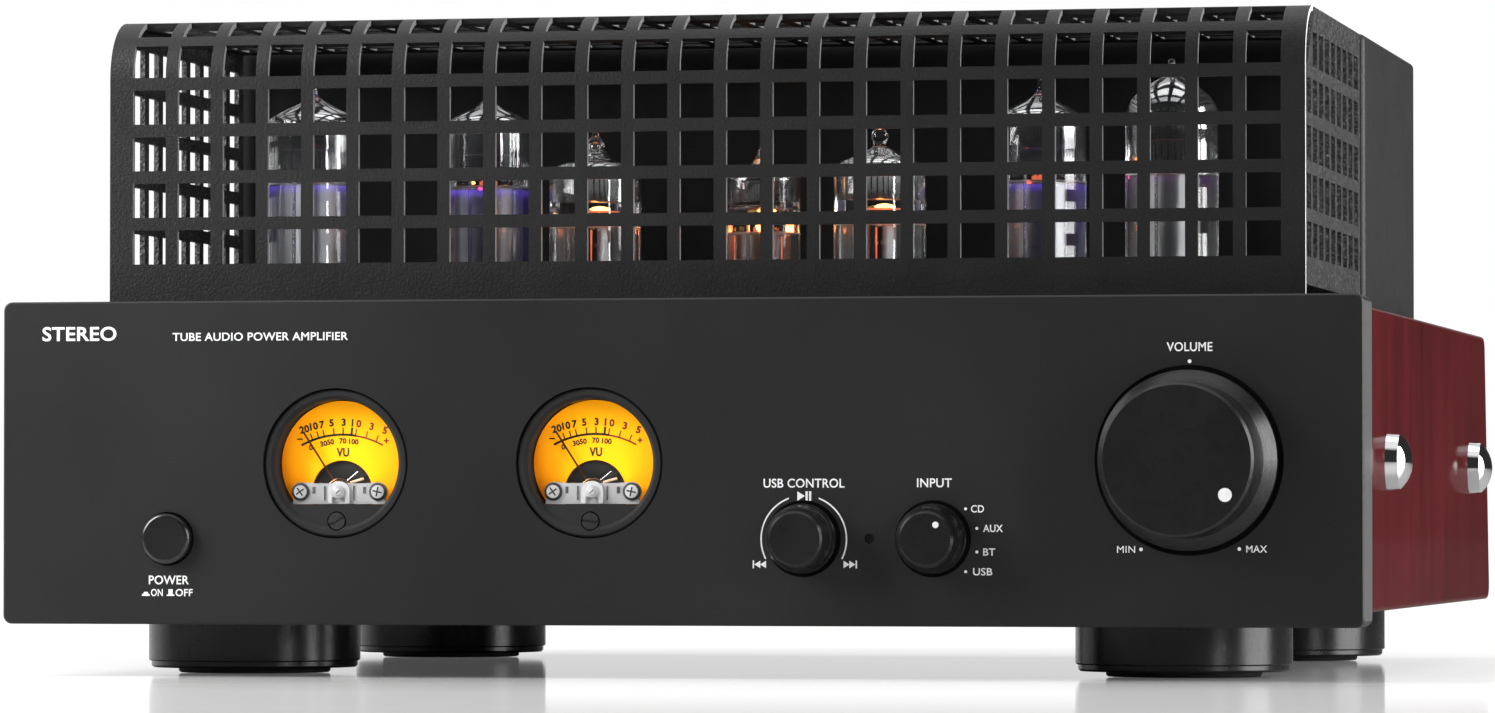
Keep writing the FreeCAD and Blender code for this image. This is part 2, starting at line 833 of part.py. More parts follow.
def electrodes(name, radius, low, high, width, depth, top_gap, pins):
    """Anode, mica spacers, heater, support rods, getter ring and base pins."""
    mica = radius - dim("glass_wall") - 0.5
    thick = 0.5
    parts = [
        rod(name + "_mica_low", mica, (0, 0, low), thick),
        rod(name + "_mica_high", mica, (0, 0, high), thick),
    ]
    gap = 0.0
    core = rod(name + "_anode_core", as_size(depth) / 2, (0, 0, low + thick), high - low - thick)
    wing = block(name + "_anode_wing", (0, 0, (low + thick + high) / 2),
                 (width, as_size(depth) * 0.42, high - low - thick - gap))
    parts.append(fuse(name + "_anode", [core, wing]))
    parts.append(rod(name + "_heater", 1.0, (0, 0, high + thick), 2.6))
    for number, x in enumerate((-0.72, 0.72)):
        parts.append(rod(name + "_rod_%d" % number, 0.45, (mica * x, 0, 3.0), low - 3.0))
        parts.append(rod(name + "_post_%d" % number, 0.45,
                         (mica * x, 0, high + thick), top_gap * 0.5))
    ring = DOC.addObject("Part::Torus", name + "_getter_ring")
    ring.Radius1 = 3.6
    ring.Radius2 = 0.6
    place(ring, 0, 0, high + thick + top_gap)
    stem = rod(name + "_getter_stem", 0.35, (3.6, 0, high + thick), top_gap)
    parts.append(fuse(name + "_getter", [ring, stem]))
    count, skipped = pins
    for number in range(count):
        angle = 2 * math.pi * (number + 0.5) / (count + skipped) - math.pi / 2
        spot = (dim("pin_circle") * math.cos(angle), dim("pin_circle") * math.sin(angle),
                -dim("pin_length"))
        parts.append(rod(name + "_pin_%d" % number, dim("pin_radius"), spot, dim("pin_length")))
    return group(name, parts)


def socket(name, radius, pins):
    """Ceramic valve socket with its pin holes and a bore in the middle."""
    body = new_body(name)
    sketch = new_sketch(body, "XY_Plane", name + "_disc")
    draw_circle(sketch, 0, 0, radius)
    pad(body, sketch, dim("socket_height"))
    holes = new_sketch(body, "XY_Plane", name + "_holes")
    draw_circle(holes, 0, 0, 2.5)
    count, skipped = pins
    for number in range(count):
        angle = 2 * math.pi * (number + 0.5) / (count + skipped) - math.pi / 2
        draw_circle(holes, dim("pin_circle") * math.cos(angle),
                    dim("pin_circle") * math.sin(angle), dim("pin_radius") + 0.25)
    pocket(body, holes)
    return body


def build_valves():
    wide = dim("valve_radius")
    narrow = dim("small_valve_radius")
    noval, miniature = (9, 1), (7, 1)
    tall = electrodes("tall_electrodes", wide, 14.0, 47.5, 15.0, 9.0, 9.0, noval)
    short = electrodes("short_electrodes", wide, 12.0, 36.5, 13.5, 8.0, 7.0, noval)
    small = electrodes("small_electrodes", narrow, 12.0, 36.0, 11.5, 7.0, 7.0, miniature)
    inside = {1: tall, 2: tall, 6: tall, 7: tall, 3: short, 5: short, 4: small}
    shapes = {
        1: (wide, 61.0, 0.62, 6.5, 1.1, 71.5),
        2: (wide, 61.5, 0.60, 6.5, 1.1, 72.0),
        3: (wide, 49.0, 0.55, 5.0, 2.0, 59.5),
        4: (narrow, 49.0, 0.60, 5.0, 1.1, 58.0),
        5: (wide, 49.5, 0.72, 4.4, 2.4, 59.5),
        6: (wide, 61.5, 0.60, 6.5, 1.1, 72.0),
        7: (wide, 60.5, 0.74, 9.0, 1.0, 74.5),
    }
    noval_socket = socket("noval_socket", dim("socket_radius"), noval)
    small_socket = socket("small_socket", dim("socket_radius") - 2, miniature)
    nodes, sockets = [], []
    seat = dim("valve_seat")
    for number, (name, x, y, hole) in enumerate(valve_spots(), start=1):
        bulb = envelope(name + "_glass", *shapes[number])
        nodes.append(place(bulb, x, y, seat))
        nodes.append(carry(name + "_electrodes", inside[number], x, y, seat))
        base = small_socket if number == 4 else noval_socket
        sockets.append(carry(name + "_socket", base, x, y, seat - dim("socket_height") - 0.05))
    nodes.append(group("valve_sockets", sockets))
    return nodes


# ---- Electronics ------------------------------------------------------------------

def build_main_board():
    body = new_body("main_board")
    sketch = new_sketch(body, "XY_Plane", "board_outline")
    draw_rectangle(sketch, (-132.0, 132.0), (-80.0, 110.0))
    pad(body, sketch, dim("board_thick"))
    return place(body, 0, 0, dim("board_height"))


def build_capacitors():
    """Four filter capacitors standing on the board."""
    base = dim("board_height") + dim("board_thick")
    can = turned_body("capacitor_can", [(0, 0), (9.6, 0), (10.0, 0.4), (10.0, 2.0), (9.5, 2.6),
                                        (10.0, 3.2), (10.0, 25.4), (9.4, 26.0), (0, 26.0)])
    spots = [(x, y) for x in (-40.0, 40.0) for y in (22.0, 50.0)]
    return group("filter_capacitors",
                 [carry("capacitor_%d" % n, can, x, y, base) for n, (x, y) in enumerate(spots)])


def build_transformer(name, x, width, depth, height):
    """Laminated core with its winding, standing on the top plate."""
    base = dim("chassis_top") + 0.05
    y = (dim("cover_rear") - dim("cover_front")) / 2
    core = block(name + "_core", (x, y, base + height / 2), (width, depth * 0.55, height))
    windows = [block(name + "_window_%d" % n, (x + side * width / 4, y, base + height / 2),
                     (width / 6 + 0.4, depth, height * 0.6))
               for n, side in enumerate((-1, 1))]
    iron = cut(name + "_iron", core, windows)
    leg = width / 3 - 0.4
    coil = block(name + "_coil", (x, y, base + height / 2),
                 (width * 0.6, depth, height * 0.6 - 0.4))
    bore = block(name + "_bore", (x, y, base + height / 2),
                 (leg + 0.6, depth * 0.55 + 0.6, height))
    return group(name, [iron, cut(name + "_winding", coil, [bore])])


# ---- Meters -----------------------------------------------------------------------

def meter_housing(name):
    """Round black case seen through the panel; y = 0 is the panel face."""
    thick = dim("panel_thick")
    bezel, window = dim("meter_bezel"), dim("meter_window")
    can = dim("meter_can")
    corners = [
        (0, 7.0), (window, 7.0), (window, 1.4), (window + 0.8, 0.6), (bezel - 0.4, 0.6),
        (bezel, 1.0), (bezel, thick + 0.05), (dim("meter_flange"), thick + 0.05),
        (dim("meter_flange"), thick + 2.5), (can, thick + 2.5), (can, thick + 14),
        (0, thick + 14),
    ]
    cup = turned_body(name + "_cup", corners, plane="XY_Plane")
    disc = rod(name + "_disc", window + 0.2, (0, 1.5, 0), 2.5, "y")
    below = block(name + "_below", (0, 5, -dim("meter_chord") - 10), (40, 20, 20))
    apron = common(name + "_apron", [disc, below])
    solid = fuse(name + "_solid", [cup, apron])
    hole = rod(name + "_zero_hole", dim("zero_radius") + 0.3, (0, 0, -dim("zero_drop")), 3.9, "y")
    return cut(name, solid, [hole])


def meter_dial(name):
    disc = rod(name + "_disc", dim("meter_window") - 0.3, (0, 6.2, 0), 0.75, "y")
    arch = rod(name + "_arch", dim("dial_arch"), (0, 5, -dim("pivot_drop")), 4.0, "y")
    below = block(name + "_below", (0, 6, -dim("pivot_drop") - 10), (dim("dial_arch") * 2, 6, 20))
    return cut(name, disc, [arch, below])


def meter_glass(name):
    disc = rod(name + "_disc", dim("meter_window") - 0.3, (0, 2.2, 0), 0.8, "y")
    above = block(name + "_above", (0, 5, 20 - dim("meter_chord") + 0.3), (40, 20, 40))
    return common(name, [disc, above])


def meter_movement(name):
    """Bridge over the needle hub: bar, posts, two screw heads and pivot plate."""
    z = -dim("pivot_drop")
    bar = block(name + "_bar", (0, 3.8, z), (20.0, 0.7, 2.2))
    plate = block(name + "_plate", (0, 3.35, z), (5.2, 0.5, 4.4))
    posts = [rod("%s_post_%d" % (name, n), 1.0, (x, 4.0, z), 2.15, "y")
             for n, x in enumerate((-9.0, 9.0))]
    heads = [rod("%s_head_%d" % (name, n), 1.7, (x, 3.1, z), 0.5, "y")
             for n, x in enumerate((-9.0, 9.0))]
    return fuse(name, [bar, plate] + posts + heads)


def meter_needle(name):
    """Pointer and hub, leaning left at rest; the hub is on the pivot."""
    hub = rod(name + "_hub", 1.3, (0, 4.45, 0), 1.2, "y")
    arm = block(name + "_arm", (0, 5.05, dim("needle_length") / 2),
                (0.4, 0.3, dim("needle_length")))
    return fuse(name, [hub, arm])


def meter_zero_screw(name):
    head = rod(name + "_head", dim("zero_radius"), (0, 1.3, 0), 2.3, "y")
    slot = block(name + "_slot", (0, 1.3, 0), (6.0, 1.2, 0.6))
    return cut(name, head, [slot])


def build_meters():
    nodes = []
    face = -dim("face_setback")
    height = dim("meter_height")
    housing = meter_housing("housing_pattern")
    needle = meter_needle("needle_pattern")
    zero_screw = meter_zero_screw("zero_screw_pattern")
    dial, glass = meter_dial("dial_pattern"), meter_glass("glass_pattern")
    movement = meter_movement("movement_pattern")
    lean = Rotation(Vector(0, 1, 0), -float(dim("needle_rest")))
    shared = {"dials": [], "glasses": [], "movements": []}
    for side, x, turn in (("left", -dim("meter_left_x"), -28), ("right", -dim("meter_right_x"), 6)):
        stem = "meter_" + side
        pivot = height - dim("pivot_drop")
        nodes.append(carry(stem + "_housing", housing, x, face, height))
        nodes.append(carry(stem + "_needle", needle, x, face, pivot, lean))
        nodes.append(carry(stem + "_zero_screw", zero_screw, x, face, height - dim("zero_drop"),
                           Rotation(Vector(0, 1, 0), turn)))
        for kind, pattern in (("dials", dial), ("glasses", glass), ("movements", movement)):
            shared[kind].append(carry("%s_%s" % (stem, kind), pattern, x, face, height))
    for kind, items in shared.items():
        nodes.append(group("meter_" + kind, items))
    return nodes


# ---- Controls ---------------------------------------------------------------------

def dimple(name, body, reach, angle, radius, size):
    """Shallow round mark on a knob's face, clockwise from the top."""
    turn = math.radians(float(angle))
    sketch = new_sketch(body, "XZ_Plane", name + "_mark")
    draw_circle(sketch, float(radius) * math.sin(turn), float(radius) * math.cos(turn), size)
    sketch.AttachmentOffset = Placement(Vector(0, 0, float(reach)), Rotation())
    pocket(body, sketch, "mark", 0.25)


def build_volume_knob():
    reach = dim("volume_reach")
    face, side, flange = dim("volume_face"), dim("volume_body"), dim("volume_flange")
    bore = dim("shaft_radius") + 0.02
    gap = -dim("knob_gap")
    corners = [
        (0, -reach), (face - 0.6, -reach), (face, 0.6 - reach), (side, -5.6),
        (side + 0.7, -4.9), (flange - 0.7, -3.6), (flange, -2.8), (flange, gap),
        (side - 1.5, gap), (side - 1.5, -4.0), (6.5, -4.0), (6.5, gap),
        (bore, gap), (bore, -12.0), (0, -12.0),
    ]
    body = turned_body("volume_knob", corners, plane="XY_Plane")
    dimple("volume", body, reach, dim("volume_dot_angle"), dim("volume_dot_radius"), 1.55)
    return place(body, dim("volume_x"), -dim("face_setback"), dim("volume_z"))


def build_small_knob(name, x, marked):
    reach = dim("small_reach")
    face, side, base = dim("small_face"), dim("small_body"), dim("small_base")
    bore = dim("shaft_radius") + 0.02
    gap = -dim("jog_gap")
    corners = [
        (0, -reach), (face - 0.5, -reach), (face, 0.5 - reach), (side, -5.2), (side, -2.4),
        (base, -1.9), (base, gap), (bore, gap), (bore, -7.0), (0, -7.0),
    ]
    body = turned_body(name, corners, {2: (9.0, -1)}, plane="XY_Plane")
    if marked:
        dimple(name, body, reach, dim("input_dot_angle"), dim("input_dot_radius"), 0.75)
    return place(body, x, -dim("face_setback"), dim("small_knob_z"))


def rotary_control(name, x, z, radius, depth):
    """Pot or switch behind the panel with its threaded bush."""
    thick = float(dim("panel_thick"))
    bore, relief, bush = dim("bush_bore"), dim("bush_relief"), dim("bush_radius")
    rear = thick + depth
    corners = [(0, rear), (radius, rear), (radius, thick + 0.05), (bush, thick + 0.05),
               (bush, 2.5), (bore, 2.5), (bore, 12.5), (relief, 12.5),
               (relief, rear - 1.2), (0, rear - 1.2)]
    body = turned_body(name, corners, plane="XY_Plane")
    return place(body, x, -dim("face_setback"), z)


def shaft(name, x, z, start, finish):
    rod(name, dim("shaft_radius"), (x, start - dim("face_setback"), z), finish - start, "y")
    return DOC.getObject(name)


def build_usb_jog():
    """Encoder case, sprung rotor inside it, and the shaft that slides in the rotor."""
    x, z = dim("usb_x"), dim("small_knob_z")
    bore, relief, bush = dim("bush_bore"), dim("bush_relief"), dim("bush_radius")
    face = -dim("face_setback")
    thick = float(dim("panel_thick"))
    rear = thick + 12
    corners = [(0, rear), (9.0, rear), (9.0, thick + 0.05), (bush, thick + 0.05), (bush, 2.5),
               (bore, 2.5), (bore, 12.5), (relief, 12.5), (relief, thick + 2),
               (6.6, thick + 2), (6.6, thick + 7.5), (relief, thick + 7.5),
               (relief, rear - 1.2), (0, rear - 1.2)]
    case = place(turned_body("usb_encoder", corners, plane="XY_Plane"), x, face, z)
    rotor = turned_body("usb_rotor", [(bore, thick + 2.35), (6.2, thick + 2.35),
                                      (6.2, thick + 7.15), (bore, thick + 7.15)],
                        plane="XY_Plane")
    place(rotor, x, face, z)
    return [case, rotor, shaft("usb_shaft", x, z, -6.9, thick + 9.2)]


def build_power_button():
    reach = dim("button_reach")
    radius = dim("button_radius")
    corners = [(0, -reach), (radius - 1.0, -reach), (radius, 1.0 - reach), (radius, 13.0),
               (2.5, 13.0), (2.5, 30.0), (0, 30.0)]
    body = turned_body("power_button", corners, {1: (1.0, -1)}, plane="XY_Plane")
    return place(body, -dim("button_x"), -dim("face_setback"), dim("button_z"))


def build_power_switch():
    x, z = -dim("button_x"), dim("button_z")
    face = -dim("face_setback")
    case = box("switch_case", (x - 8, x + 8), (face + 19, face + 40), (z - 7, z + 7))
    bracket = box("switch_bracket", (x - 6, x + 6), (face + 24, face + 36),
                  (dim("chassis_bottom") + dim("sheet_steel"), z - 6))
    well = rod("switch_well", 2.9, (x, face + 18, z), 13.0, "y")
    return cut("power_switch", fuse("switch_solid", [case, bracket]), [well])


def build_sensor():
    face = -dim("face_setback")
    lens = rod("sensor_lens", dim("sensor_radius") - 0.1,
               (dim("sensor_x"), face + 0.8, dim("small_knob_z")), 14.2, "y")
    can = block("sensor_can", (dim("sensor_x"), face + 17.6, dim("small_knob_z")), (5.0, 5.0, 6.0))
    return fuse("infrared_sensor", [lens, can])


def build_controls():
    volume = (dim("volume_x"), dim("volume_z"))
    source = (dim("input_x"), dim("small_knob_z"))
    return [
        build_volume_knob(),
        shaft("volume_shaft", volume[0], volume[1], -11.9, 24.0),
        rotary_control("volume_pot", volume[0], volume[1], 12.0, 11.0),
        build_small_knob("input_knob", source[0], True),
        shaft("input_shaft", source[0], source[1], -6.9, 22.0),
        rotary_control("input_switch", source[0], source[1], 11.5, 9.0),
        build_small_knob("usb_knob", dim("usb_x"), False),
    ] + build_usb_jog() + [build_power_button(), build_power_switch(), build_sensor()]


# ---- Rear connectors --------------------------------------------------------------

def build_phono_jacks():
    rear = dim("chassis_rear")
    jack = turned_body("phono_jack", [(0, -10.0), (4.1, -10.0), (4.1, 0.05), (5.4, 0.05),
                                      (5.4, 1.6), (4.15, 1.6), (4.15, 9.5), (3.4, 9.5),
                                      (3.4, 1.0), (1.5, 1.0), (1.5, 8.6), (0, 9.1)],
                       plane="XY_Plane")
    return group("phono_jacks", [carry("phono_jack_%d" % n, jack, x, rear, REAR_SOCKET_Z)
                                 for n, x in enumerate(REAR_JACK_X)])


def build_speaker_sockets():
    rear = dim("chassis_rear")
    tip = dim("speaker_reach")
    post = turned_body("speaker_post", [(0, -12.0), (5.0, -12.0), (5.0, 0.05), (7.5, 0.05),
                                        (7.5, 4.0), (5.6, 4.6), (5.6, 8.0), (7.5, 8.6),
                                        (7.5, tip - 0.6), (6.9, tip), (2.1, tip),
                                        (2.1, tip - 14), (0, tip - 14)], plane="XY_Plane")
    return group("speaker_sockets", [carry("speaker_post_%d" % n, post, x, rear, REAR_SOCKET_Z)
                                     for n, x in enumerate(REAR_TERMINAL_X)])


def build_mains_inlet():
    rear = dim("chassis_rear")
    z = REAR_SOCKET_Z
    flange = block("inlet_flange", (INLET_X, rear + 1.55, z), (48.0, 3.0, 26.0))
    case = block("inlet_case", (INLET_X, rear - 7.5, z), (27.0, 17.0, 20.0))
    well = block("inlet_well", (INLET_X, rear - 5.0, z), (24.0, 20.0, 16.2))
    shell = cut("inlet_shell", fuse("inlet_solid", [flange, case]), [well])
    pins = [block("inlet_pin_%d" % n, (INLET_X + x, rear - 8.6, z + up), (2.0, 13.0, 4.0))
            for n, (x, up) in enumerate(((-7, -1.5), (0, 2.5), (7, -1.5)))]
    return fuse("mains_inlet", [shell] + pins)


# ---- Assembly ---------------------------------------------------------------------

def build_all():
    nodes = [
        build_front_panel(),
        build_chassis_tray(),
        build_top_plate(),
        build_rear_panel(),
        build_wood_side("wood_side_left", -1),
        build_wood_side("wood_side_right", 1),
        build_side_cap_bolts(),
        build_cage_front(),
        build_cage_side("cage_side_left", -1),
        build_cage_side("cage_side_right", 1),
        build_transformer_cover(),
        build_main_board(),
        build_capacitors(),
        build_transformer("mains_transformer", 0.0, 78.0, 80.0, 60.0),
        build_transformer("output_transformer_left", -92.0, 62.0, 66.0, 52.0),
        build_transformer("output_transformer_right", 92.0, 62.0, 66.0, 52.0),
        build_phono_jacks(),
        build_speaker_sockets(),
        build_mains_inlet(),
    ]
    return nodes + build_feet() + build_valves() + build_meters() + build_controls()


def check_objects():
    for obj in DOC.Objects:
        for word in ("Invalid", "Error"):
            if word in obj.State:
                raise RuntimeError("%s is %s" % (obj.Label, obj.State))


def write_parts(nodes):
    os.makedirs("parts", exist_ok=True)
    for node in nodes:
        shape = node.Shape
        if shape.isNull() or not shape.isValid() or not shape.Solids:
            raise RuntimeError("%s has no valid solid" % node.Label)
        shape.exportStep("parts/%s.step" % node.Label)
    print("%d nodes written" % len(nodes))


fill_sheet()
NODES = build_all()
DOC.recompute()
check_objects()
write_parts(NODES)
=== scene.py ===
import json
from math import asin, cos, degrees, pi, radians, sin

import bmesh
import bpy
import numpy as np
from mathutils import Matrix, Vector


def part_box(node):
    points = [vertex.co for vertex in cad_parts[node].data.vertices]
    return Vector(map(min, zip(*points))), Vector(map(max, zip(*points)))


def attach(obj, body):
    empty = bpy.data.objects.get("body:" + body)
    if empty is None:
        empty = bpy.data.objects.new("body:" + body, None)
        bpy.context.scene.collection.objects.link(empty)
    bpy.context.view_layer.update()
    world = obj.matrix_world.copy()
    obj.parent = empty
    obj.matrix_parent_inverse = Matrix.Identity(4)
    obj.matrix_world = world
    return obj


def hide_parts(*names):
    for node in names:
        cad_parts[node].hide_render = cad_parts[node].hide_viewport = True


# Looks of the valve amplifier. Blender works in metres; shapes here are written in millimetres.

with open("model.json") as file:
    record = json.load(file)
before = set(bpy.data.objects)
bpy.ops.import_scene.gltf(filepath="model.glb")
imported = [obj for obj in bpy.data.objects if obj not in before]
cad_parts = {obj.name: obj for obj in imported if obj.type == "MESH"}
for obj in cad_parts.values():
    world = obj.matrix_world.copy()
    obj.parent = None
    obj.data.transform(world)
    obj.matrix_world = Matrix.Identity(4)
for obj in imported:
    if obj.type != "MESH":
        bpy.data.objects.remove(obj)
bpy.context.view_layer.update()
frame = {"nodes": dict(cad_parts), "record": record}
NODES = frame["nodes"]
MM = 0.001


def span(node):
    """Lowest and highest corner of a CAD node, in millimetres."""
    return [[value / MM for value in corner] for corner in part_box(node)]


def middle(node):
    """Centre of a CAD node and half its width, in millimetres."""
    low, high = span(node)
    return [(a + b) / 2 for a, b in zip(low, high)], (high[0] - low[0]) / 2


SCENE = bpy.context.scene
SIDES = ("left", "right")
FACE = span("front_panel")[0][1]
METER_X = [round(middle("meter_%s_housing" % side)[0][0], 3) for side in SIDES]
METER_Z = 48.0
PIVOT_Z = METER_Z - 6.4


# ---- Node helpers ----

def add_node(tree, kind, inputs=None, **props):
    """Adds a shader node; each input takes a value or the socket that feeds it."""
    made = tree.nodes.new("ShaderNode" + kind)
    for key, value in props.items():
        setattr(made, key, value)
    for key, value in (inputs or {}).items():
        if isinstance(value, bpy.types.NodeSocket):
            tree.links.new(value, made.inputs[key])
        else:
            made.inputs[key].default_value = value
    return made


def new_material(name, colour, metallic=0.0, roughness=0.5, **more):
    material = bpy.data.materials.new(name)
    material.use_nodes = True
    material.diffuse_color = (*colour, 1)
    shader = material.node_tree.nodes["Principled BSDF"]
    values = {"Base Color": (*colour, 1), "Metallic": metallic, "Roughness": roughness, **more}
    for key, value in values.items():
        shader.inputs[key.replace("_", " ")].default_value = value
    return material, material.node_tree, shader


def bare_material(name):
    """A material with nothing but its output node."""
    material, tree, shader = new_material(name, (1, 1, 1))
    tree.nodes.remove(shader)
    return material, tree


def shader_of(material):
    return material.node_tree.nodes["Principled BSDF"]


def source(shader, name):
    """The socket that feeds one input of a shader."""
    return shader.inputs[name].links[0].from_socket


def feed(socket, shader, name):
    shader.id_data.links.new(socket, shader.inputs[name])


def show(made, output="Material Output"):
    """Makes a node the surface of its material or world."""
    feed(made.outputs[0], made.id_data.nodes[output], "Surface")


def position(tree):
    return add_node(tree, "TexCoord").outputs["Object"]


def along(tree, axis, output="Object"):
    """One axis of the position, or of another texture coordinate."""
    vector = add_node(tree, "TexCoord").outputs[output]
    return add_node(tree, "SeparateXYZ", {"Vector": vector}).outputs[axis]


def stretched(tree, scale):
    return add_node(tree, "Mapping", {"Vector": position(tree), "Scale": scale}).outputs[0]


def noise(tree, scale, detail=2.0, rough=0.5, vector=None):
    inputs = {"Vector": vector or position(tree), "Scale": scale, "Detail": detail, "Roughness": rough}
    return add_node(tree, "TexNoise", inputs).outputs["Fac"]


def maths(kind, a, b=0.0):
    return add_node(a.id_data, "Math", {0: a, 1: b}, operation=kind).outputs[0]


def plus(a, b):
    return maths("ADD", a, b)


def times(a, b):
    return maths("MULTIPLY", a, b)


def spread(factor, low, high, start=0.0, end=1.0):
    """Maps a factor between start and end to values between low and high."""
    inputs = {"Value": factor, "From Min": start, "From Max": end, "To Min": low, "To Max": high}
    return add_node(factor.id_data, "MapRange", inputs).outputs[0]


def ramp(factor, stops):
    made = add_node(factor.id_data, "ValToRGB", {"Fac": factor})
    line = made.color_ramp.elements
    while len(line) < len(stops):
        line.new(0.5)
    for element, (spot, colour) in zip(line, stops):
        element.position = spot
        element.color = (*colour, 1)
    return made.outputs["Color"]


def tint(shader, factor, stops, name="Base Color"):
    feed(ramp(factor, stops), shader, name)


def roughen(shader, factor, low, high):
    feed(spread(factor, low, high), shader, "Roughness")


def bumped(shader, height, strength, depth_mm, name="Normal"):
    inputs = {"Height": height, "Strength": strength, "Distance": depth_mm * MM}
    feed(add_node(shader.id_data, "Bump", inputs).outputs[0], shader, name)


# ---- Materials ----

def grey(level, blue=0.0):
    """A neutral colour, with a little more blue if asked."""
    return (level, level, level + blue)


def scaled(colour, factor, lift=0.0):
    """A lighter or darker version of a colour."""
    return tuple(min(c * factor + lift, 1.0) for c in colour)


def blend_colour(shader, share, colour, other):
    """Base colour that turns to another one where the share is 1."""
    inputs = {"Factor": share, 6: colour, 7: (*other, 1)}
    mixed = add_node(shader.id_data, "Mix", inputs, data_type="RGBA")
    feed(mixed.outputs[2], shader, "Base Color")


def bare_and_lit_edge(shader, colour, edge, node):
    """Brighter colour on the cut faces of a sheet, brightest at its left and right ends: partly bare
    metal, partly a painted highlight where the faces catch the light.
    """
    tree = shader.id_data
    half_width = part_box(node)[1].x
    facing = maths("ABSOLUTE", along(tree, "X", "Normal"))
    cut = spread(facing, 0.0, 1.0, 0.93, 0.98)
    across = maths("ABSOLUTE", along(tree, "X"))
    ends = spread(across, 0.3, 1.0, half_width - 1.0 * MM, half_width - 0.5 * MM)
    # Cut faces blend toward the edge colour: bare metal and a painted highlight.
    blend_colour(shader, times(cut, ends), colour, edge)


def anodised(name, dark, light):
    """Bead-blasted, black anodised aluminium."""
    rough = 0.42
    material, tree, shader = new_material(name, dark, 0.55, rough)
    cloud = ramp(noise(tree, 14.0, 4.0), [(0.3, dark), (0.7, light)])
    # The panel's cut faces are painted brighter: bare metal and a painted highlight.
    bare_and_lit_edge(shader, cloud, grey(0.15), "front_panel")
    grain = noise(tree, 2600.0)
    roughen(shader, grain, rough - 0.06, rough + 0.08)
    bumped(shader, grain, 0.22, 0.02)
    return material


def turned_metal(name, dark, rough):
    """Black anodised metal with fine lathe marks round the knob's axis."""
    material, tree, shader = new_material(name, dark, 0.6, rough)
    marks = noise(tree, 900.0, 2.0, 0.6, stretched(tree, (0.25, 3.0, 0.25)))
    roughen(shader, marks, rough - 0.07, rough + 0.09)
    tint(shader, noise(tree, 60.0, 3.0), [(0.35, dark), (0.7, scaled(dark, 1.35))])
    bumped(shader, marks, 0.12, 0.01)
    return material


def powder_coat(name, dark, light, rough=0.5, depth=0.09, gloss=0.5, sparkle=3.2, relief=0.5, pitch=1.0):
    """Fine textured powder coat; its few brighter grains are painted glints off its relief."""
    material, tree, shader = new_material(name, dark, 0.0, rough, Specular_IOR_Level=gloss)
    inputs = {"Vector": position(tree), "Scale": 1700.0 / pitch}
    cells = add_node(tree, "TexVoronoi", inputs, feature="SMOOTH_F1")
    fine = noise(tree, 1900.0 / pitch, 3.0)
    # The brightest colour stop is a painted glint: a highlight painted into a few grains.
    painted_glint = scaled(light, sparkle)
    tint(shader, fine, [(0.40, dark), (0.66, light), (0.76, painted_glint)])
    roughen(shader, noise(tree, 90.0), rough - 0.05, rough + 0.08)
    height = plus(times(cells.outputs["Distance"], -0.8), fine)
    bumped(shader, height, relief, depth)
    return material


def shaded_front_sheet_coat():
    """Smoother coat of the bent front sheet, painted darker than the black coat as shade, with its cut
    ends bare metal and a painted highlight.
    """
    # Darker colours than the black coat: painted shade on the front sheet.
    material = powder_coat("shaded_front_sheet_coat", grey(0.0018, 0.0002), grey(0.0066, 0.0002), 0.48, 0.10,
                           0.40, 4.5, 0.6)
    shader = shader_of(material)
    # Cut faces painted brighter: bare metal and a painted highlight.
    bare_and_lit_edge(shader, source(shader, "Base Color"), grey(0.85), "cage_front_sheet")
    return material


def cover_coat_with_painted_shade():
    """Coat of the transformer cover; the wall that faces the valves is painted darker as shade, and made
    rougher.
    """
    material = powder_coat("transformer_cover_coat", grey(0.005, 0.0005), grey(0.018, 0.0005))
    shader = shader_of(material)
    # Painted shade: the wall behind the valves, shaded by the cage, is blended to a near-black colour.
    share = spread(along(material.node_tree, "Y", "Normal"), 0.0, 1.0, -0.9, -0.98)
    blend_colour(shader, share, source(shader, "Base Color"), grey(0.0008, 0.0001))
    dull = plus(source(shader, "Roughness"), times(share, 0.45))
    feed(dull, shader, "Roughness")
    return material


def lacquered_wood(name):
    """Dark red stained wood, fine upright grain, under a clear lacquer."""
    dark, mid, light = (0.036, 0.0022, 0.0028), (0.063, 0.0048, 0.0058), (0.092, 0.0085, 0.010)
    material, tree, shader = new_material(name, mid, 0.0, 0.5, Coat_Weight=0.14, Coat_Roughness=0.06,
                                          Coat_IOR=1.45, Specular_IOR_Level=0.02)
    lines = add_node(tree, "TexNoise", {"Vector": stretched(tree, (420.0, 420.0, 14.0)), "Scale": 1.0,
                                        "Detail": 6.0, "Roughness": 0.6, "Distortion": 0.5}).outputs["Fac"]
    bands = noise(tree, 1.0, 3.0, 0.5, stretched(tree, (70.0, 70.0, 5.0)))
    blotch = noise(tree, 16.0)
    tone = plus(times(lines, 0.42), times(bands, 0.23))
    tone = plus(tone, times(blotch, 0.35))
    tint(shader, tone, [(0.36, dark), (0.50, mid), (0.64, light)])
    roughen(shader, lines, 0.40, 0.60)
    bumped(shader, lines, 0.3, 0.08)
    height = plus(times(lines, 0.5), noise(tree, 45.0, 1.0))
    bumped(shader, height, 0.10, 0.08, "Coat Normal")
    return material


def polished(name, colour, rough, scratch=0.05):
    """Bare or plated metal with faint scratches."""
    material, tree, shader = new_material(name, colour, 1.0, rough)
    marks = noise(tree, 420.0, 3.0, 0.6, stretched(tree, (1.0, 0.2, 1.0)))
    roughen(shader, marks, max(rough - scratch, 0.02), rough + scratch)
    tint(shader, noise(tree, 40.0), [(0.3, scaled(colour, 0.86)), (0.7, colour)])
    bumped(shader, marks, 0.05, 0.01)
    return material


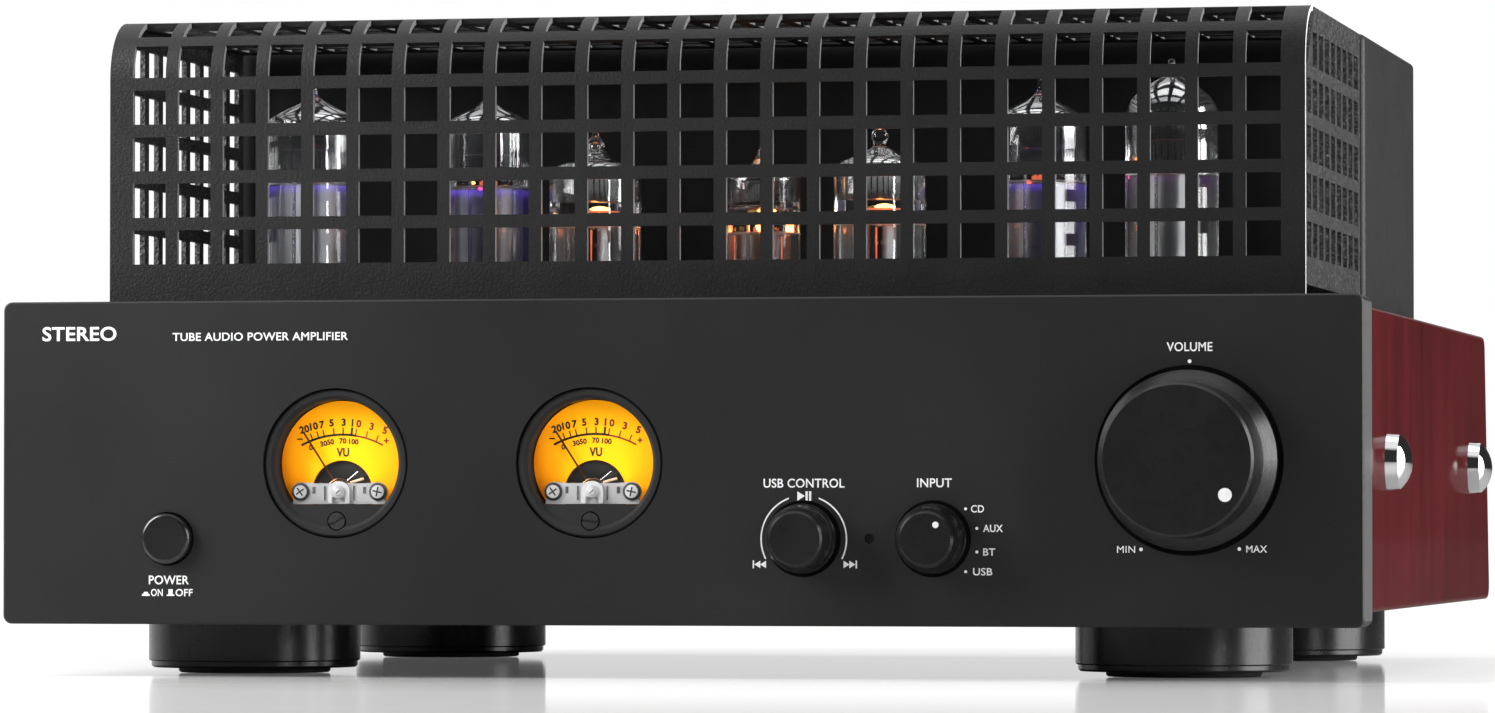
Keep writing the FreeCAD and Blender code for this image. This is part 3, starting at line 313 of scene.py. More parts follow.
def moulded(name, colour, rough, grain_mm=0.25, depth=0.01, coat=0.0):
    """Moulded plastic or rubber with a fine texture."""
    material, tree, shader = new_material(name, colour, 0.0, rough, Coat_Weight=coat, Coat_Roughness=0.08)
    grain = noise(tree, 1000.0 / grain_mm / 2)
    light = scaled(colour, 1.4, 0.004)
    tint(shader, noise(tree, 90.0, 3.0), [(0.3, colour), (0.75, light)])
    roughen(shader, grain, rough * 0.85, rough * 1.15)
    bumped(shader, grain, 0.3, depth)
    return material


def meter_case():
    """Glossy moulded meter case, matt inside so that the lit dial isn't mirrored."""
    material = moulded("meter_housing_gloss", grey(0.006, 0.0005), 0.13, 1.0, 0.002)
    shader = shader_of(material)
    inside = spread(along(material.node_tree, "Y"), 0.0, 0.75, (FACE - 0.6) * MM, (FACE + 0.4) * MM)
    feed(plus(source(shader, "Roughness"), inside), shader, "Roughness")
    return material


def near_black_finish():
    """Near-black finish that gives back hardly any light."""
    material = moulded("black_felt", grey(0.0004), 0.85, 0.4, 0.05)
    shader_of(material).inputs["Specular IOR Level"].default_value = 0.03
    return material


def see_through(name, colour, rough, ior):
    """Glass that lamps shine through."""
    material, tree, shader = new_material(name, colour, 0.0, rough, Transmission_Weight=1.0, IOR=ior)
    clear = add_node(tree, "BsdfTransparent", {"Color": (*colour, 1)})
    path = add_node(tree, "LightPath")
    show(add_node(tree, "MixShader", {"Fac": path.outputs["Is Shadow Ray"], 1: shader.outputs[0],
                                      2: clear.outputs[0]}))
    return material


def glowing(name, colour, strength, base=(0.02, 0.01, 0.01)):
    """Hot metal, its glow slightly uneven."""
    material, tree, shader = new_material(name, base, 0.0, 0.6, Emission_Strength=strength)
    hot = scaled(colour, 1.3, 0.05)
    tint(shader, noise(tree, 900.0), [(0.3, colour), (0.7, hot)], "Emission Color")
    return material


def haze(name, colour, strength, low_mm, high_mm, edge):
    """A faint glow on the inside of the glass, fading downwards and strongest at the rims."""
    material, tree = bare_material(name)
    height = along(tree, "Z")
    fade = spread(height, 0.0, 1.0, low_mm * MM, high_mm * MM)
    fade = maths("POWER", fade, 3.0)
    band_top = spread(height, 0.0, 0.09, (high_mm - 2.0) * MM, high_mm * MM)
    facing = add_node(tree, "LayerWeight", {"Blend": 0.35}).outputs["Facing"]
    rim = spread(maths("POWER", facing, edge), 0.003, 1.0)
    rim = plus(rim, band_top)
    patch = spread(noise(tree, 75.0), 0.2, 1.3, 0.36, 0.66)
    power = times(times(times(fade, rim), patch), strength)
    light = add_node(tree, "Emission", {"Color": (*colour, 1), "Strength": power})
    clear = add_node(tree, "BsdfTransparent")
    show(add_node(tree, "AddShader", {0: clear.outputs[0], 1: light.outputs[0]}))
    return material


def getter_mirror(name, low_mm, high_mm, density):
    """Silvery metal film on the inside of a bulb, thinning out at its lower edge."""
    material, tree, shader = new_material(name, grey(0.62, 0.01), 0.95, 0.05)
    patchy = times(noise(tree, 90.0), 0.004)
    level = plus(along(tree, "Z"), patchy)
    alpha = spread(level, 0.0, density, low_mm * MM, high_mm * MM)
    feed(alpha, shader, "Alpha")
    tint(shader, noise(tree, 70.0), [(0.35, (0.34, 0.33, 0.33)), (0.7, grey(0.70, 0.01))])
    return material


def amber_dial(name):
    """Backlit dial: yellow round the lamp, deep orange at the rim."""
    lamp_x, lamp_z, reach_mm = 1.5, METER_Z + 2.5, 16.5
    material, tree, shader = new_material(name, (0.9, 0.42, 0.03), 0.0, 0.6, Specular_IOR_Level=0.1)
    away = []
    for centre in METER_X:
        offset = plus(along(tree, "X"), -(centre + lamp_x) * MM)
        away.append(maths("ABSOLUTE", offset))
    across = maths("MINIMUM", *away)
    up = plus(along(tree, "Z"), -lamp_z * MM)
    squares = plus(times(across, across), times(up, up))
    share = spread(maths("SQRT", squares), 0.0, 1.0, 0.0, reach_mm * MM)
    stops = [(0.0, (0.96, 0.42, 0.006)), (0.5, (0.92, 0.39, 0.003)), (0.8, (0.80, 0.27, 0.002)),
             (1.0, (0.44, 0.11, 0.001))]
    colour = ramp(share, stops)
    feed(colour, shader, "Base Color")
    feed(colour, shader, "Emission Color")
    feed(spread(share, 0.54, 0.46), shader, "Emission Strength")
    bumped(shader, noise(tree, 1800.0), 0.1, 0.01)
    return material


def circuit_board(name):
    green, line = (0.012, 0.075, 0.03), (0.03, 0.16, 0.07)
    material, tree, shader = new_material(name, green, 0.0, 0.35)
    bricks = add_node(tree, "TexBrick", {"Vector": position(tree), "Scale": 160.0, "Color1": (*green, 1),
                                         "Color2": (*line, 1), "Mortar": (0.05, 0.2, 0.09, 1),
                                         "Mortar Size": 0.012})
    feed(bricks.outputs["Color"], shader, "Base Color")
    bumped(shader, bricks.outputs["Fac"], 0.2, 0.04)
    return material


def laminations(name):
    """Stacked transformer sheets, seen as fine lines from front to back."""
    material, tree, shader = new_material(name, grey(0.05, 0.002), 0.8, 0.4)
    lines = maths("SINE", times(along(tree, "Y"), 9000.0))
    feed(spread(lines, 0.3, 0.6, -1.0, 1.0), shader, "Roughness")
    rust = [(0.3, grey(0.03, 0.002)), (0.8, (0.11, 0.10, 0.09))]
    tint(shader, noise(tree, 130.0, 4.0), rust)
    bumped(shader, lines, 0.3, 0.08)
    return material


def printed(name, colour):
    material, tree, shader = new_material(name, colour, 0.0, 0.55)
    tint(shader, noise(tree, 700.0, 3.0), [(0.3, scaled(colour, 0.88)), (0.6, colour)])
    return material


BLACK_COAT = powder_coat("black_powder_coat_grain", grey(0.005, 0.0005), grey(0.018, 0.0005))
# Lighter copy of the black coat for the cage sides: its bright, coarse grains are painted glints.
SIDE_COAT_PAINTED_GLINTS = powder_coat("side_sheet_coat_painted_glints", grey(0.005, 0.0002), grey(0.066, 0.0005), 0.5, 0.30,
                        sparkle=5.0, relief=1.0, pitch=1.3)
KNOB = turned_metal("knob_turned_black", grey(0.0185, 0.0005), 0.27)
BEZEL = meter_case()
ZERO_SCREW = moulded("zero_screw_gloss", grey(0.022, 0.0005), 0.3, 1.0, 0.002, 0.5)
NICKEL = polished("nickel_parts", grey(0.60), 0.2, 0.08)
ANODE = polished("anode_grey_metal", (0.36, 0.355, 0.36), 0.29, 0.03)
MICA = see_through("mica_sheet", (0.82, 0.80, 0.74), 0.35, 1.3)
GLASS = see_through("bulb_glass", (0.97, 0.985, 0.99), 0.0, 1.47)
HEATER = glowing("heater_orange", (1.0, 0.30, 0.04), 6.0)
HEATER_DIM = glowing("cathode_red", (1.0, 0.11, 0.02), 0.7, (0.2, 0.16, 0.14))
HOT_CORE = glowing("heater_core", (1.0, 0.46, 0.12), 4.5)
EMBER = glowing("ember_red", (1.0, 0.10, 0.06), 1.6)
PINK = glowing("pink_spark", (0.9, 0.07, 0.32), 1.5)
SPRING = polished("hairspring_bronze", (0.55, 0.30, 0.16), 0.25)
BRIDGE = moulded("bridge_plate", grey(0.27, 0.01), 0.3, 0.6, 0.004, 0.4)
CARRIER = moulded("carrier_plate", grey(0.38, 0.01), 0.25, 0.6, 0.004, 0.6)
# Bright copper: partly the coil's copper, partly painted glints.
COPPER_GLINT = moulded("copper_glint", (0.75, 0.50, 0.34), 0.3, 0.6, 0.004, 0.5)
SCREW = moulded("bridge_screw_heads", grey(0.34, 0.01), 0.22, 0.6, 0.004, 0.8)
# Near-black; on the screw heads it is painted shade for their slots.
DARK_SLOT = moulded("dark_slot", grey(0.01), 0.6)
WHITE_INK = printed("white_ink", grey(0.86))
BLACK_INK = printed("black_ink", (0.008, 0.004, 0.002))
RED_INK = printed("red_ink", (0.20, 0.014, 0.002))

# Finish of each material slot in the record.
CAD_MATERIALS = {
    "black_anodised_aluminium": anodised("black_anodised_blast", grey(0.0170, 0.0005),
                                         grey(0.0262, 0.0005)),
    "black_powder_coat": BLACK_COAT,
    "black_chassis_steel": powder_coat("black_chassis_coat", grey(0.008), grey(0.018), 0.5, 0.05),
    "red_lacquered_wood": lacquered_wood("red_lacquered_wood_grain"),
    "chrome_plate": polished("chrome_mirror", grey(0.86, 0.01), 0.045, 0.02),
    "black_rubber": moulded("black_rubber_pad", grey(0.018), 0.75, 0.5, 0.03),
    "zinc_plated_steel": polished("zinc_steel", grey(0.56, 0.02), 0.28, 0.08),
    "clear_glass": GLASS,
    "window_glass": see_through("window_glass", (0.99, 0.99, 0.98), 0.0, 1.004),
    "electrode_grey": ANODE,
    "white_ceramic": moulded("white_ceramic_body", (0.70, 0.68, 0.62), 0.5, 0.4, 0.02),
    "board_green": circuit_board("board_green_traces"),
    "capacitor_sleeve": moulded("capacitor_sleeve_film", (0.02, 0.022, 0.05), 0.22, 0.8, 0.01),
    "transformer_iron": laminations("transformer_laminations"),
    "black_plastic": moulded("black_plastic_moulded", grey(0.012, 0.001), 0.28, 0.3, 0.006, 0.25),
    "amber_dial": amber_dial("amber_dial_paper"),
    "movement_silver": NICKEL,
    "needle_black": polished("needle_bronze", (0.16, 0.06, 0.02), 0.35),
    "gloss_black_button": moulded("gloss_button", grey(0.007, 0.0005), 0.22, 1.2, 0.004, 0.2),
    "dark_lens": moulded("dark_sensor_lens", (0.006, 0.003, 0.006), 0.08, 1.0, 0.002, 1.0),
    "gold_plate": polished("gold_plated_brass", (0.78, 0.55, 0.22), 0.16),
    "terminal_plastic": moulded("terminal_cap_plastic", grey(0.03), 0.2, 0.6, 0.01, 0.3),
}
# Nodes whose finish differs from that of their slot.
OWN_MATERIALS = {
    "cage_front_sheet": shaded_front_sheet_coat(),
    "transformer_cover": cover_coat_with_painted_shade(),
    "volume_knob": KNOB,
    "input_knob": KNOB,
    "usb_knob": KNOB,
    "feet_shells": turned_metal("foot_turned_black", grey(0.022, 0.001), 0.24),
}
for side in SIDES:
    OWN_MATERIALS["cage_side_" + side] = SIDE_COAT_PAINTED_GLINTS
    OWN_MATERIALS["meter_%s_housing" % side] = BEZEL
    OWN_MATERIALS["meter_%s_zero_screw" % side] = ZERO_SCREW


def dress_frame():
    """Gives every CAD node its material."""
    for part in frame["record"]["subparts"]:
        name = part["node"]
        material = OWN_MATERIALS.get(name) or CAD_MATERIALS[part["material_slot"]]
        mesh = NODES[name].data
        mesh.materials.clear()
        mesh.materials.append(material)


# ---- Mesh building ----

def add_object(name, data):
    made = bpy.data.objects.new(name, data)
    SCENE.collection.objects.link(made)
    return made


class Build:
    """Collects closed shells, in millimetres from its origin, and turns them into one piece."""

    def __init__(self, origin=(0, 0, 0)):
        self.origin = origin
        self.verts = []
        self.faces = []
        self.marks = []
        self.materials = []

    def add(self, verts, faces, material, at=(0, 0, 0), axis="z"):
        """Adds one shell; along y, its own second and third coordinates change places."""
        if axis == "y":
            verts = [(x, z, y) for x, y, z in verts]
        shift = [a + b for a, b in zip(self.origin, at)]
        first = len(self.verts)
        self.verts += [[v + s for v, s in zip(vert, shift)] for vert in verts]
        self.faces += [[first + i for i in face] for face in faces]
        if material not in self.materials:
            self.materials.append(material)
        self.marks += [self.materials.index(material)] * len(faces)

    def lathe(self, profile, material, at=(0, 0, 0), steps=64, axis="z"):
        """Turns a closed (radius, height) outline; points on the axis become poles."""
        verts, rows = [], []
        for radius, height in profile:
            if radius < 1e-6:
                rows.append([len(verts)])
                verts.append((0.0, 0.0, height))
            else:
                rows.append(list(range(len(verts), len(verts) + steps)))
                verts += [(x, y, height) for x, y in circle(radius, steps)]
        faces = []
        for one, two in zip(rows, rows[1:] + rows[:1]):
            if len(one) == 1 and len(two) == 1:
                continue
            for s in range(steps):
                t = (s + 1) % steps
                corners = (one[s % len(one)], one[t % len(one)], two[t % len(two)], two[s % len(two)])
                faces.append(list(dict.fromkeys(corners)))
        self.add(verts, faces, material, at, axis)

    def prism(self, ring, low, high, material, axis="z"):
        """Extrudes a polygon between two heights."""
        count = len(ring)
        verts = [(x, y, low) for x, y in ring] + [(x, y, high) for x, y in ring]
        faces = [list(range(count - 1, -1, -1)), list(range(count, 2 * count))]
        for i in range(count):
            j = (i + 1) % count
            faces.append([i, j, count + j, count + i])
        self.add(verts, faces, material, axis=axis)

    def tube(self, path, radius, material, steps=10, closed=False):
        """Round wire along a list of points."""
        points = [Vector(p) for p in path]
        verts, count = [], len(points)
        side = Vector((0.3, 0.9, 0.2)).normalized()
        for i, spot in enumerate(points):
            if closed:
                ahead = points[(i + 1) % count] - points[i - 1]
            else:
                ahead = points[min(i + 1, count - 1)] - points[max(i - 1, 0)]
            ahead.normalize()
            side = (side - ahead * side.dot(ahead)).normalized()
            other = ahead.cross(side)
            verts += [spot + side * u + other * v for u, v in circle(radius, steps)]
        faces = []
        for i in range(count if closed else count - 1):
            j = (i + 1) % count
            for s in range(steps):
                t = (s + 1) % steps
                faces.append([i * steps + s, i * steps + t, j * steps + t, j * steps + s])
        if not closed:
            faces.append(list(range(steps - 1, -1, -1)))
            faces.append([(count - 1) * steps + s for s in range(steps)])
        self.add(verts, faces, material)

    def make(self, name, replaces=(), sharp=40.0, body="chassis"):
        """Makes the piece, smooth except at edges sharper than an angle in degrees."""
        mesh = bpy.data.meshes.new(name)
        mesh.from_pydata([[v * MM for v in vert] for vert in self.verts], [], self.faces)
        for material in self.materials:
            mesh.materials.append(material)
        mesh.polygons.foreach_set("material_index", self.marks)
        work = bmesh.new()
        work.from_mesh(mesh)
        bmesh.ops.recalc_face_normals(work, faces=work.faces)
        work.to_mesh(mesh)
        work.free()
        mesh.shade_smooth()
        mesh.set_sharp_from_angle(angle=radians(sharp))
        piece = add_object(name, mesh)
        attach(piece, body)
        if replaces:
            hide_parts(*replaces)


def smooth_line(points, steps=4):
    """Catmull-Rom curve through (radius, height) points."""
    made = []
    for i in range(len(points) - 1):
        p0, p1 = points[max(i - 1, 0)], points[i]
        p2, p3 = points[i + 1], points[min(i + 2, len(points) - 1)]
        for s in range(steps):
            t = s / steps
            made.append(tuple(
                0.5 * (2 * b + (c - a) * t + (2 * a - 5 * b + 4 * c - d) * t * t
                       + (3 * b - a - 3 * c + d) * t ** 3)
                for a, b, c, d in zip(p0, p1, p2, p3)))
    made.append(points[-1])
    return [(max(r, 0.0), h) for r, h in made]


def circle(radius, count=32, x=0.0, y=0.0):
    """Points evenly round a circle."""
    angles = [2 * pi * i / count for i in range(count)]
    return [(x + radius * cos(a), y + radius * sin(a)) for a in angles]


def arc(radius, start, finish, steps, x=0.0, y=0.0):
    """Points along an arc with both its ends, angles in degrees."""
    angles = [radians(start + (finish - start) * k / steps) for k in range(steps + 1)]
    return [(x + radius * cos(a), y + radius * sin(a)) for a in angles]


def bar(x, y, width, height):
    """Rectangle round a centre."""
    return [(x - width / 2, y - height / 2), (x + width / 2, y - height / 2),
            (x + width / 2, y + height / 2), (x - width / 2, y + height / 2)]


def mirrored(half, middle_x=0.0):
    """A symmetric polygon from its right half, listed upwards."""
    return ([(middle_x + x, y) for x, y in half] + [(middle_x - x, y) for x, y in reversed(half)])


# ---- Valves ----

# Tops of the bulbs, as (radius, height above the shoulder).
HATS = {
    "spire": [(10.8, 0), (10.65, 1.0), (9.7, 2.1), (8.0, 3.1), (6.2, 4.0), (4.3, 4.9), (2.5, 5.9),
              (1.35, 6.9), (0.85, 8.0), (0.75, 9.2), (0.45, 9.9), (0, 10.1)],
    "dome": [(10.8, 0), (10.72, 1.5), (10.2, 3.3), (9.3, 4.8), (7.8, 6.3), (5.6, 7.9), (3.2, 9.3),
             (1.5, 10.3), (0.7, 11.2), (0.5, 12.1), (0.6, 12.6), (0.85, 13.1), (0.75, 13.7), (0.4, 14.0),
             (0, 14.1)],
    "steps": [(10.8, 0), (10.5, 1.1), (9.1, 2.1), (6.8, 2.8), (4.6, 3.4), (3.3, 4.3), (2.9, 5.2),
              (2.1, 6.1), (2.15, 7.0), (1.7, 8.0), (1.0, 9.0), (0.75, 9.8), (0, 10.4)],
    "bead": [(10.8, 0), (10.5, 1.2), (9.4, 2.3), (7.6, 3.2), (5.6, 4.0), (3.8, 4.8), (2.1, 5.6),
             (1.5, 6.3), (1.8, 7.2), (2.0, 8.2), (1.7, 9.3), (1.1, 10.0), (0, 10.4)],
    "slim": [(9.1, 0), (8.8, 0.9), (7.6, 1.7), (5.8, 2.4), (4.0, 3.1), (2.6, 4.0), (1.6, 5.3), (1.05, 6.8),
             (0.7, 8.2), (0, 9.0)],
}
VALVES = {
    1: ("tall", "spire"), 2: ("tall", "spire"), 3: ("double", "steps"), 4: ("slim", "slim"),
    5: ("double", "bead"), 6: ("tall", "spire"), 7: ("tall", "dome"),
}
# Heights of the lower and upper mica.
MICA_HEIGHTS = {"tall": (14.0, 47.5), "double": (12.0, 36.5), "slim": (12.0, 36.0)}
CATHODES = {"tall": [(0.0, 0.0)], "double": [(-2.7, -1.0), (1.6, -1.0)], "slim": [(0.0, 0.0)]}
# Getter film: its lower edge, the height where it is full (or None for the shoulder), density.
FILMS = {"tall": (49.0, None, 0.85), "double": (42.5, 47.0, 0.92), "slim": (43.5, 48.0, 0.55)}
# Glow on the glass: lower end, colour, strength, narrowness of the rims.
VIOLET = (10.0, (0.16, 0.06, 1.0), 2.3, 2.6)
MAGENTA = (30.0, (0.50, 0.08, 0.85), 0.45, 3.0)
GLOWS = {1: VIOLET, 2: VIOLET, 6: VIOLET, 7: MAGENTA}
GLOW_TOP = 46.8
# Incandescent points: x, y, z, radius, material.
HOT_WIRES = {
    1: [(0.6, -4.0, 56.4, 0.7, HEATER_DIM), (5.0, -5.5, 38.0, 0.3, HEATER)],
    2: [(-1.5, -4.0, 48.6, 0.4, HEATER), (-0.2, -5.0, 47.2, 0.45, PINK), (0.6, -5.0, 40.5, 0.35, HEATER)],
    6: [(-1.2, -5.2, 47.4, 0.5, EMBER), (2.8, -5.2, 47.4, 0.45, PINK), (-1.6, -4.0, 55.4, 0.3, HEATER_DIM),
        (1.6, -4.0, 55.4, 0.3, HEATER_DIM)],
    7: [(-3.2, -3.0, 51.2, 0.6, HEATER), (-0.4, -5.0, 49.4, 1.0, EMBER), (-8.0, -3.5, 47.0, 0.4, PINK),
        (-7.6, -3.5, 39.5, 0.4, HEATER_DIM)],
}
WALL = 0.8
PIN_CIRCLE = 5.95


def bulb(name, at, radius, top, hat):
    """Blown glass bulb with a pressed base, shoulder and sealed tip."""
    crown = smooth_line(HATS[hat])
    shoulder = top - crown[-1][1]
    heights = [shoulder * k / 6 for k in range(1, 6)]
    outside = [(0, 0), (radius - 1.6, 0.0), (radius - 0.5, 0.45), (radius, 1.6)]
    outside += [(radius, h) for h in heights]
    outside += [(r, shoulder + h) for r, h in crown]
    inner_crown = [(r - WALL, h - 0.35) for r, h in crown if r > 2.0]
    inside = [(0, shoulder + inner_crown[-1][1] + 0.5)]
    inside += [(r, shoulder + h) for r, h in reversed(inner_crown)]
    inside += [(radius - WALL, h) for h in reversed(heights)]
    inside += [(radius - WALL, 3.6), (radius - 1.8, 2.9), (0, 2.8)]
    made = Build(at)
    made.lathe(outside + inside, GLASS, steps=72)
    made.make(name + "_bulb", [name + "_glass"], 60.0)
    return shoulder, inner_crown


def anode_ring(width, depth):
    """Cross-section of a pressed anode: round core, flat wings and folded lips."""
    core, wing, half = depth / 2, depth * 0.19, width / 2
    lip, fold = wing + 0.5, half - 0.8
    start = degrees(asin(wing / core))
    ring = arc(core, start, 180 - start, 10)
    ring += [(-fold, wing), (-fold, lip), (-half, lip), (-half, -lip), (-fold, -lip), (-fold, -wing)]
    return ring + [(-x, -y) for x, y in ring]


def rounded_box(width, depth, corner, x):
    ring = []
    for sx, sy, start in ((1, 1, 0), (-1, 1, 90), (-1, -1, 180), (1, -1, 270)):
        ring += arc(corner, start, start + 90, 4, x + sx * (width / 2 - corner), sy * (depth / 2 - corner))
    return ring


def mica_ring(radius):
    """Round mica sheet with small teeth that grip the glass."""
    tooth = 0.35
    outer, inner = circle(radius, 72), circle(radius - tooth, 72)
    return [outer[k] if k % 6 in (0, 1) else inner[k] for k in range(72)]


def double_anodes(made, low, high):
    """Two boxed anodes side by side, with bands and fins."""
    for x in (-3.75, 3.75):
        made.prism(rounded_box(6.0, 7.4, 1.3, x), low, high, ANODE)
        for k in range(3):
            z = low + 4.9 + k * 7.2
            made.prism(rounded_box(6.3, 7.7, 1.4, x), z, z + 0.8, ANODE)
        for y in (-4.3, 4.3):
            made.prism(bar(x, y, 0.6, 1.6), low, high, ANODE)


def single_anode(made, kind, low, high):
    """One winged anode with bands round its core."""
    width, depth, bands = (15.0, 9.0, 5) if kind == "tall" else (11.5, 7.0, 3)
    made.prism(anode_ring(width, depth), low, high, ANODE)
    first, pitch = low + 3.4, (high - low - 7.3) / (bands - 1)
    for k in range(bands):
        z = first + k * pitch
        made.prism(circle(depth / 2 + 0.16, 40), z, z + 0.7, ANODE)


def cathode_end(made, kind, x, y, high):
    """Top of a cathode with the two heater loops that come out of it."""
    made.prism(circle(1.0, 16, x, y), high + 0.4, high + 1.5, HEATER_DIM)
    for turn in (-0.35, 0.35):
        arch = [(x + turn + 0.28 * cos(a), y, high + 1.5 + 0.9 * sin(a))
                for a in (pi * k / 8 for k in range(9))]
        made.tube(arch, 0.16, HEATER_DIM if kind == "tall" else HEATER, 8)


def heater_glow(made, kind, high):
    """Glowing slots in the anodes of a short valve, the bright spot above them, and a painted glow round
    that spot.
    """
    slots, core = ([0.0], 4.2) if kind == "double" else ([-3.9, 3.9], 5.4)
    for x in slots:
        made.lathe([(0, high - 15.0), (0.04, high - 15.0), (0.14, high - 2.0), (0.14, high - 0.6),
                    (0, high - 0.6)], HEATER_DIM, (x, -2.6, 0), 10)
    made.lathe([(0, -0.7), (0.9, -0.45), (1.35, 0), (0.9, 0.5), (0, 0.75)], HOT_CORE,
               (0.9, -1.4, high + core), 20)
    # Dim red ring round the bright spot: a painted glow spreading from it, not a part.
    made.lathe([(1.3, -0.2), (2.6, -0.12), (2.6, 0.1), (1.3, 0.2)], HEATER_DIM,
               (0.9, -1.4, high + core - 0.5), 24)


def pin_places(radius, count):
    """Places round a circle with one place left empty at the front."""
    angles = [2 * pi * (k + 0.5) / (count + 1) - pi / 2 for k in range(count)]
    return [(radius * cos(a), radius * sin(a)) for a in angles]


def supports(made, mica, low, high):
    """Four upright rods between the micas, and eight wires up from the base."""
    for ux, uy in ((0.78, 0.12), (-0.78, -0.12), (0.2, 0.72), (-0.2, -0.72)):
        x, y = mica * ux, mica * uy
        made.tube([(x, y, 4.0), (x, y, high + 2.2)], 0.38, NICKEL)
    for (x, y), top in zip(pin_places(PIN_CIRCLE, 8), pin_places(3.6, 8)):
        knee = (x * 0.9, y * 0.9, low * 0.6)
        made.tube([(x, y, 2.9), knee, (*top, low - 0.1)], 0.22, NICKEL, 8)


def getter_ring(made, kind, high):
    """Ring that held the getter, its stem, and the two tabs beside it."""
    gap, tab = (8.2, 4.6) if kind == "tall" else (6.2, 2.4)
    ring_z = high + gap
    made.tube([(x, y, ring_z) for x, y in circle(3.5, 36)], 0.5, NICKEL, closed=True)
    made.tube([(3.5, 0, ring_z), (3.6, 0.6, high + gap * 0.5), (4.2, 1.6, high + 0.3)], 0.26, NICKEL, 8)
    for x in (-4.9, 4.9):
        made.prism(bar(x, -0.875, 2.2, 0.25), high + 0.35, high + tab, NICKEL)


def electrodes(name, at, radius, kind):
    """Everything inside one bulb, and its pins."""
    low, high = MICA_HEIGHTS[kind]
    mica = radius - WALL - 0.15
    made = Build(at)
    for z in (low, high):
        made.prism(mica_ring(mica), z, z + 0.35, MICA)
    if kind == "double":
        double_anodes(made, low + 0.6, high - 0.1)
    else:
        single_anode(made, kind, low + 0.6, high - 0.1)
    for x, y in CATHODES[kind]:
        cathode_end(made, kind, x, y, high)
    if kind != "tall":
        heater_glow(made, kind, high)
    supports(made, mica, low, high)
    getter_ring(made, kind, high)
    for x, y in pin_places(PIN_CIRCLE, 7 if kind == "slim" else 9):
        made.lathe([(0, -6.5), (0.25, -6.4), (0.5, -5.8), (0.5, 0.2), (0, 0.2)], NICKEL, (x, y, 0), 14)
    made.make(name + "_innards", [name + "_electrodes"])


def lining(name, at, outline, material):
    made = Build(at)
    made.lathe(outline, material)
    made.make(name, sharp=60.0)


def film(name, at, radius, inner_crown, shoulder, kind):
    """Getter mirror that follows the inside of the bulb from a height up to its tip."""
    start, full, density = FILMS[kind]
    full = full or shoulder + 1.0
    sides = radius - WALL - 0.06
    line = [(sides, start + (shoulder - start) * k / 6) for k in range(6)]
    line += [(max(r - 0.06, 0.3), shoulder + h - 0.05) for r, h in inner_crown]
    back = [(max(r - 0.05, 0.2), h - 0.02) for r, h in reversed(line)]
    name += "_getter_film"
    material = getter_mirror(name + "_silver", at[2] + start + 0.5, at[2] + full, density)
    lining(name, at, line + back, material)


def glow_shell(name, at, radius, low, colour, strength, edge):
    """Thin shell inside the glass that carries the glow."""
    outer = radius - WALL - 0.12
    line = [(outer, low + (GLOW_TOP - low) * k / 4) for k in range(5)]
    inner = [(outer - 0.06, h) for r, h in reversed(line)]
    name += "_glow"
    material = haze(name + "_light", colour, strength, at[2] + low, at[2] + GLOW_TOP, edge)
    lining(name, at, line + inner, material)


def sparks(name, at, spots):
    """Small incandescent points where heater wires pass the upper mica."""
    made = Build(at)
    for x, y, z, size, material in spots:
        made.lathe([(0, -size), (size * 0.7, -size * 0.7), (size, 0), (size * 0.7, size * 0.7),
                    (0, size)], material, (x, y, z), 14)
    made.make(name + "_hot_wires", sharp=80.0)


def heater_lamp(number, at, high):
    """Small orange lamp in front of a short valve's electrodes."""
    light = bpy.data.lights.new("heater_lamp_%d" % number, "POINT")
    light.energy = 0.0014
    light.color = (1.0, 0.22, 0.05)
    light.shadow_soft_size = 1.0 * MM
    place = (at[0] + 1.0, at[1] - 6.0, at[2] + high + 1.2)
    add_object(light.name, light).location = [v * MM for v in place]


def build_valves():
    for number, (kind, hat) in VALVES.items():
        name = "valve_%d" % number
        low, high = span(name + "_glass")
        centre, radius = middle(name + "_glass")
        at = (centre[0], centre[1], low[2])
        shoulder, inner_crown = bulb(name, at, radius, high[2] - low[2], hat)
        electrodes(name, at, radius, kind)
        film(name, at, radius, inner_crown, shoulder, kind)
        if number in GLOWS:
            glow_shell(name, at, radius, *GLOWS[number])
        if number in HOT_WIRES:
            sparks(name, at, HOT_WIRES[number])
        if kind != "tall":
            heater_lamp(number, at, MICA_HEIGHTS[kind][1])


# ---- Printing ----

INK = 0.035


def text_mesh(words, bold):
    """Letters of Blender's own font in the XY plane, as points and faces."""
    curve = bpy.data.curves.new("letters", "FONT")
    curve.body = words
    curve.offset = bold
    curve.resolution_u = 4
    curve.space_character = 1.04
    curve.extrude = 0.5
    holder = add_object("letters", curve)
    bpy.context.view_layer.update()
    graph = bpy.context.evaluated_depsgraph_get()
    mesh = bpy.data.meshes.new_from_object(holder.evaluated_get(graph))
    verts = np.array([v.co for v in mesh.vertices], float)
    faces = [list(p.vertices) for p in mesh.polygons]
    bpy.data.objects.remove(holder)
    bpy.data.meshes.remove(mesh)
    bpy.data.curves.remove(curve)
    return verts, faces


LETTER_H = text_mesh("H", 0.0)[0][:, 1]
BASELINE, CAP_LINE = LETTER_H.min(), LETTER_H.max()


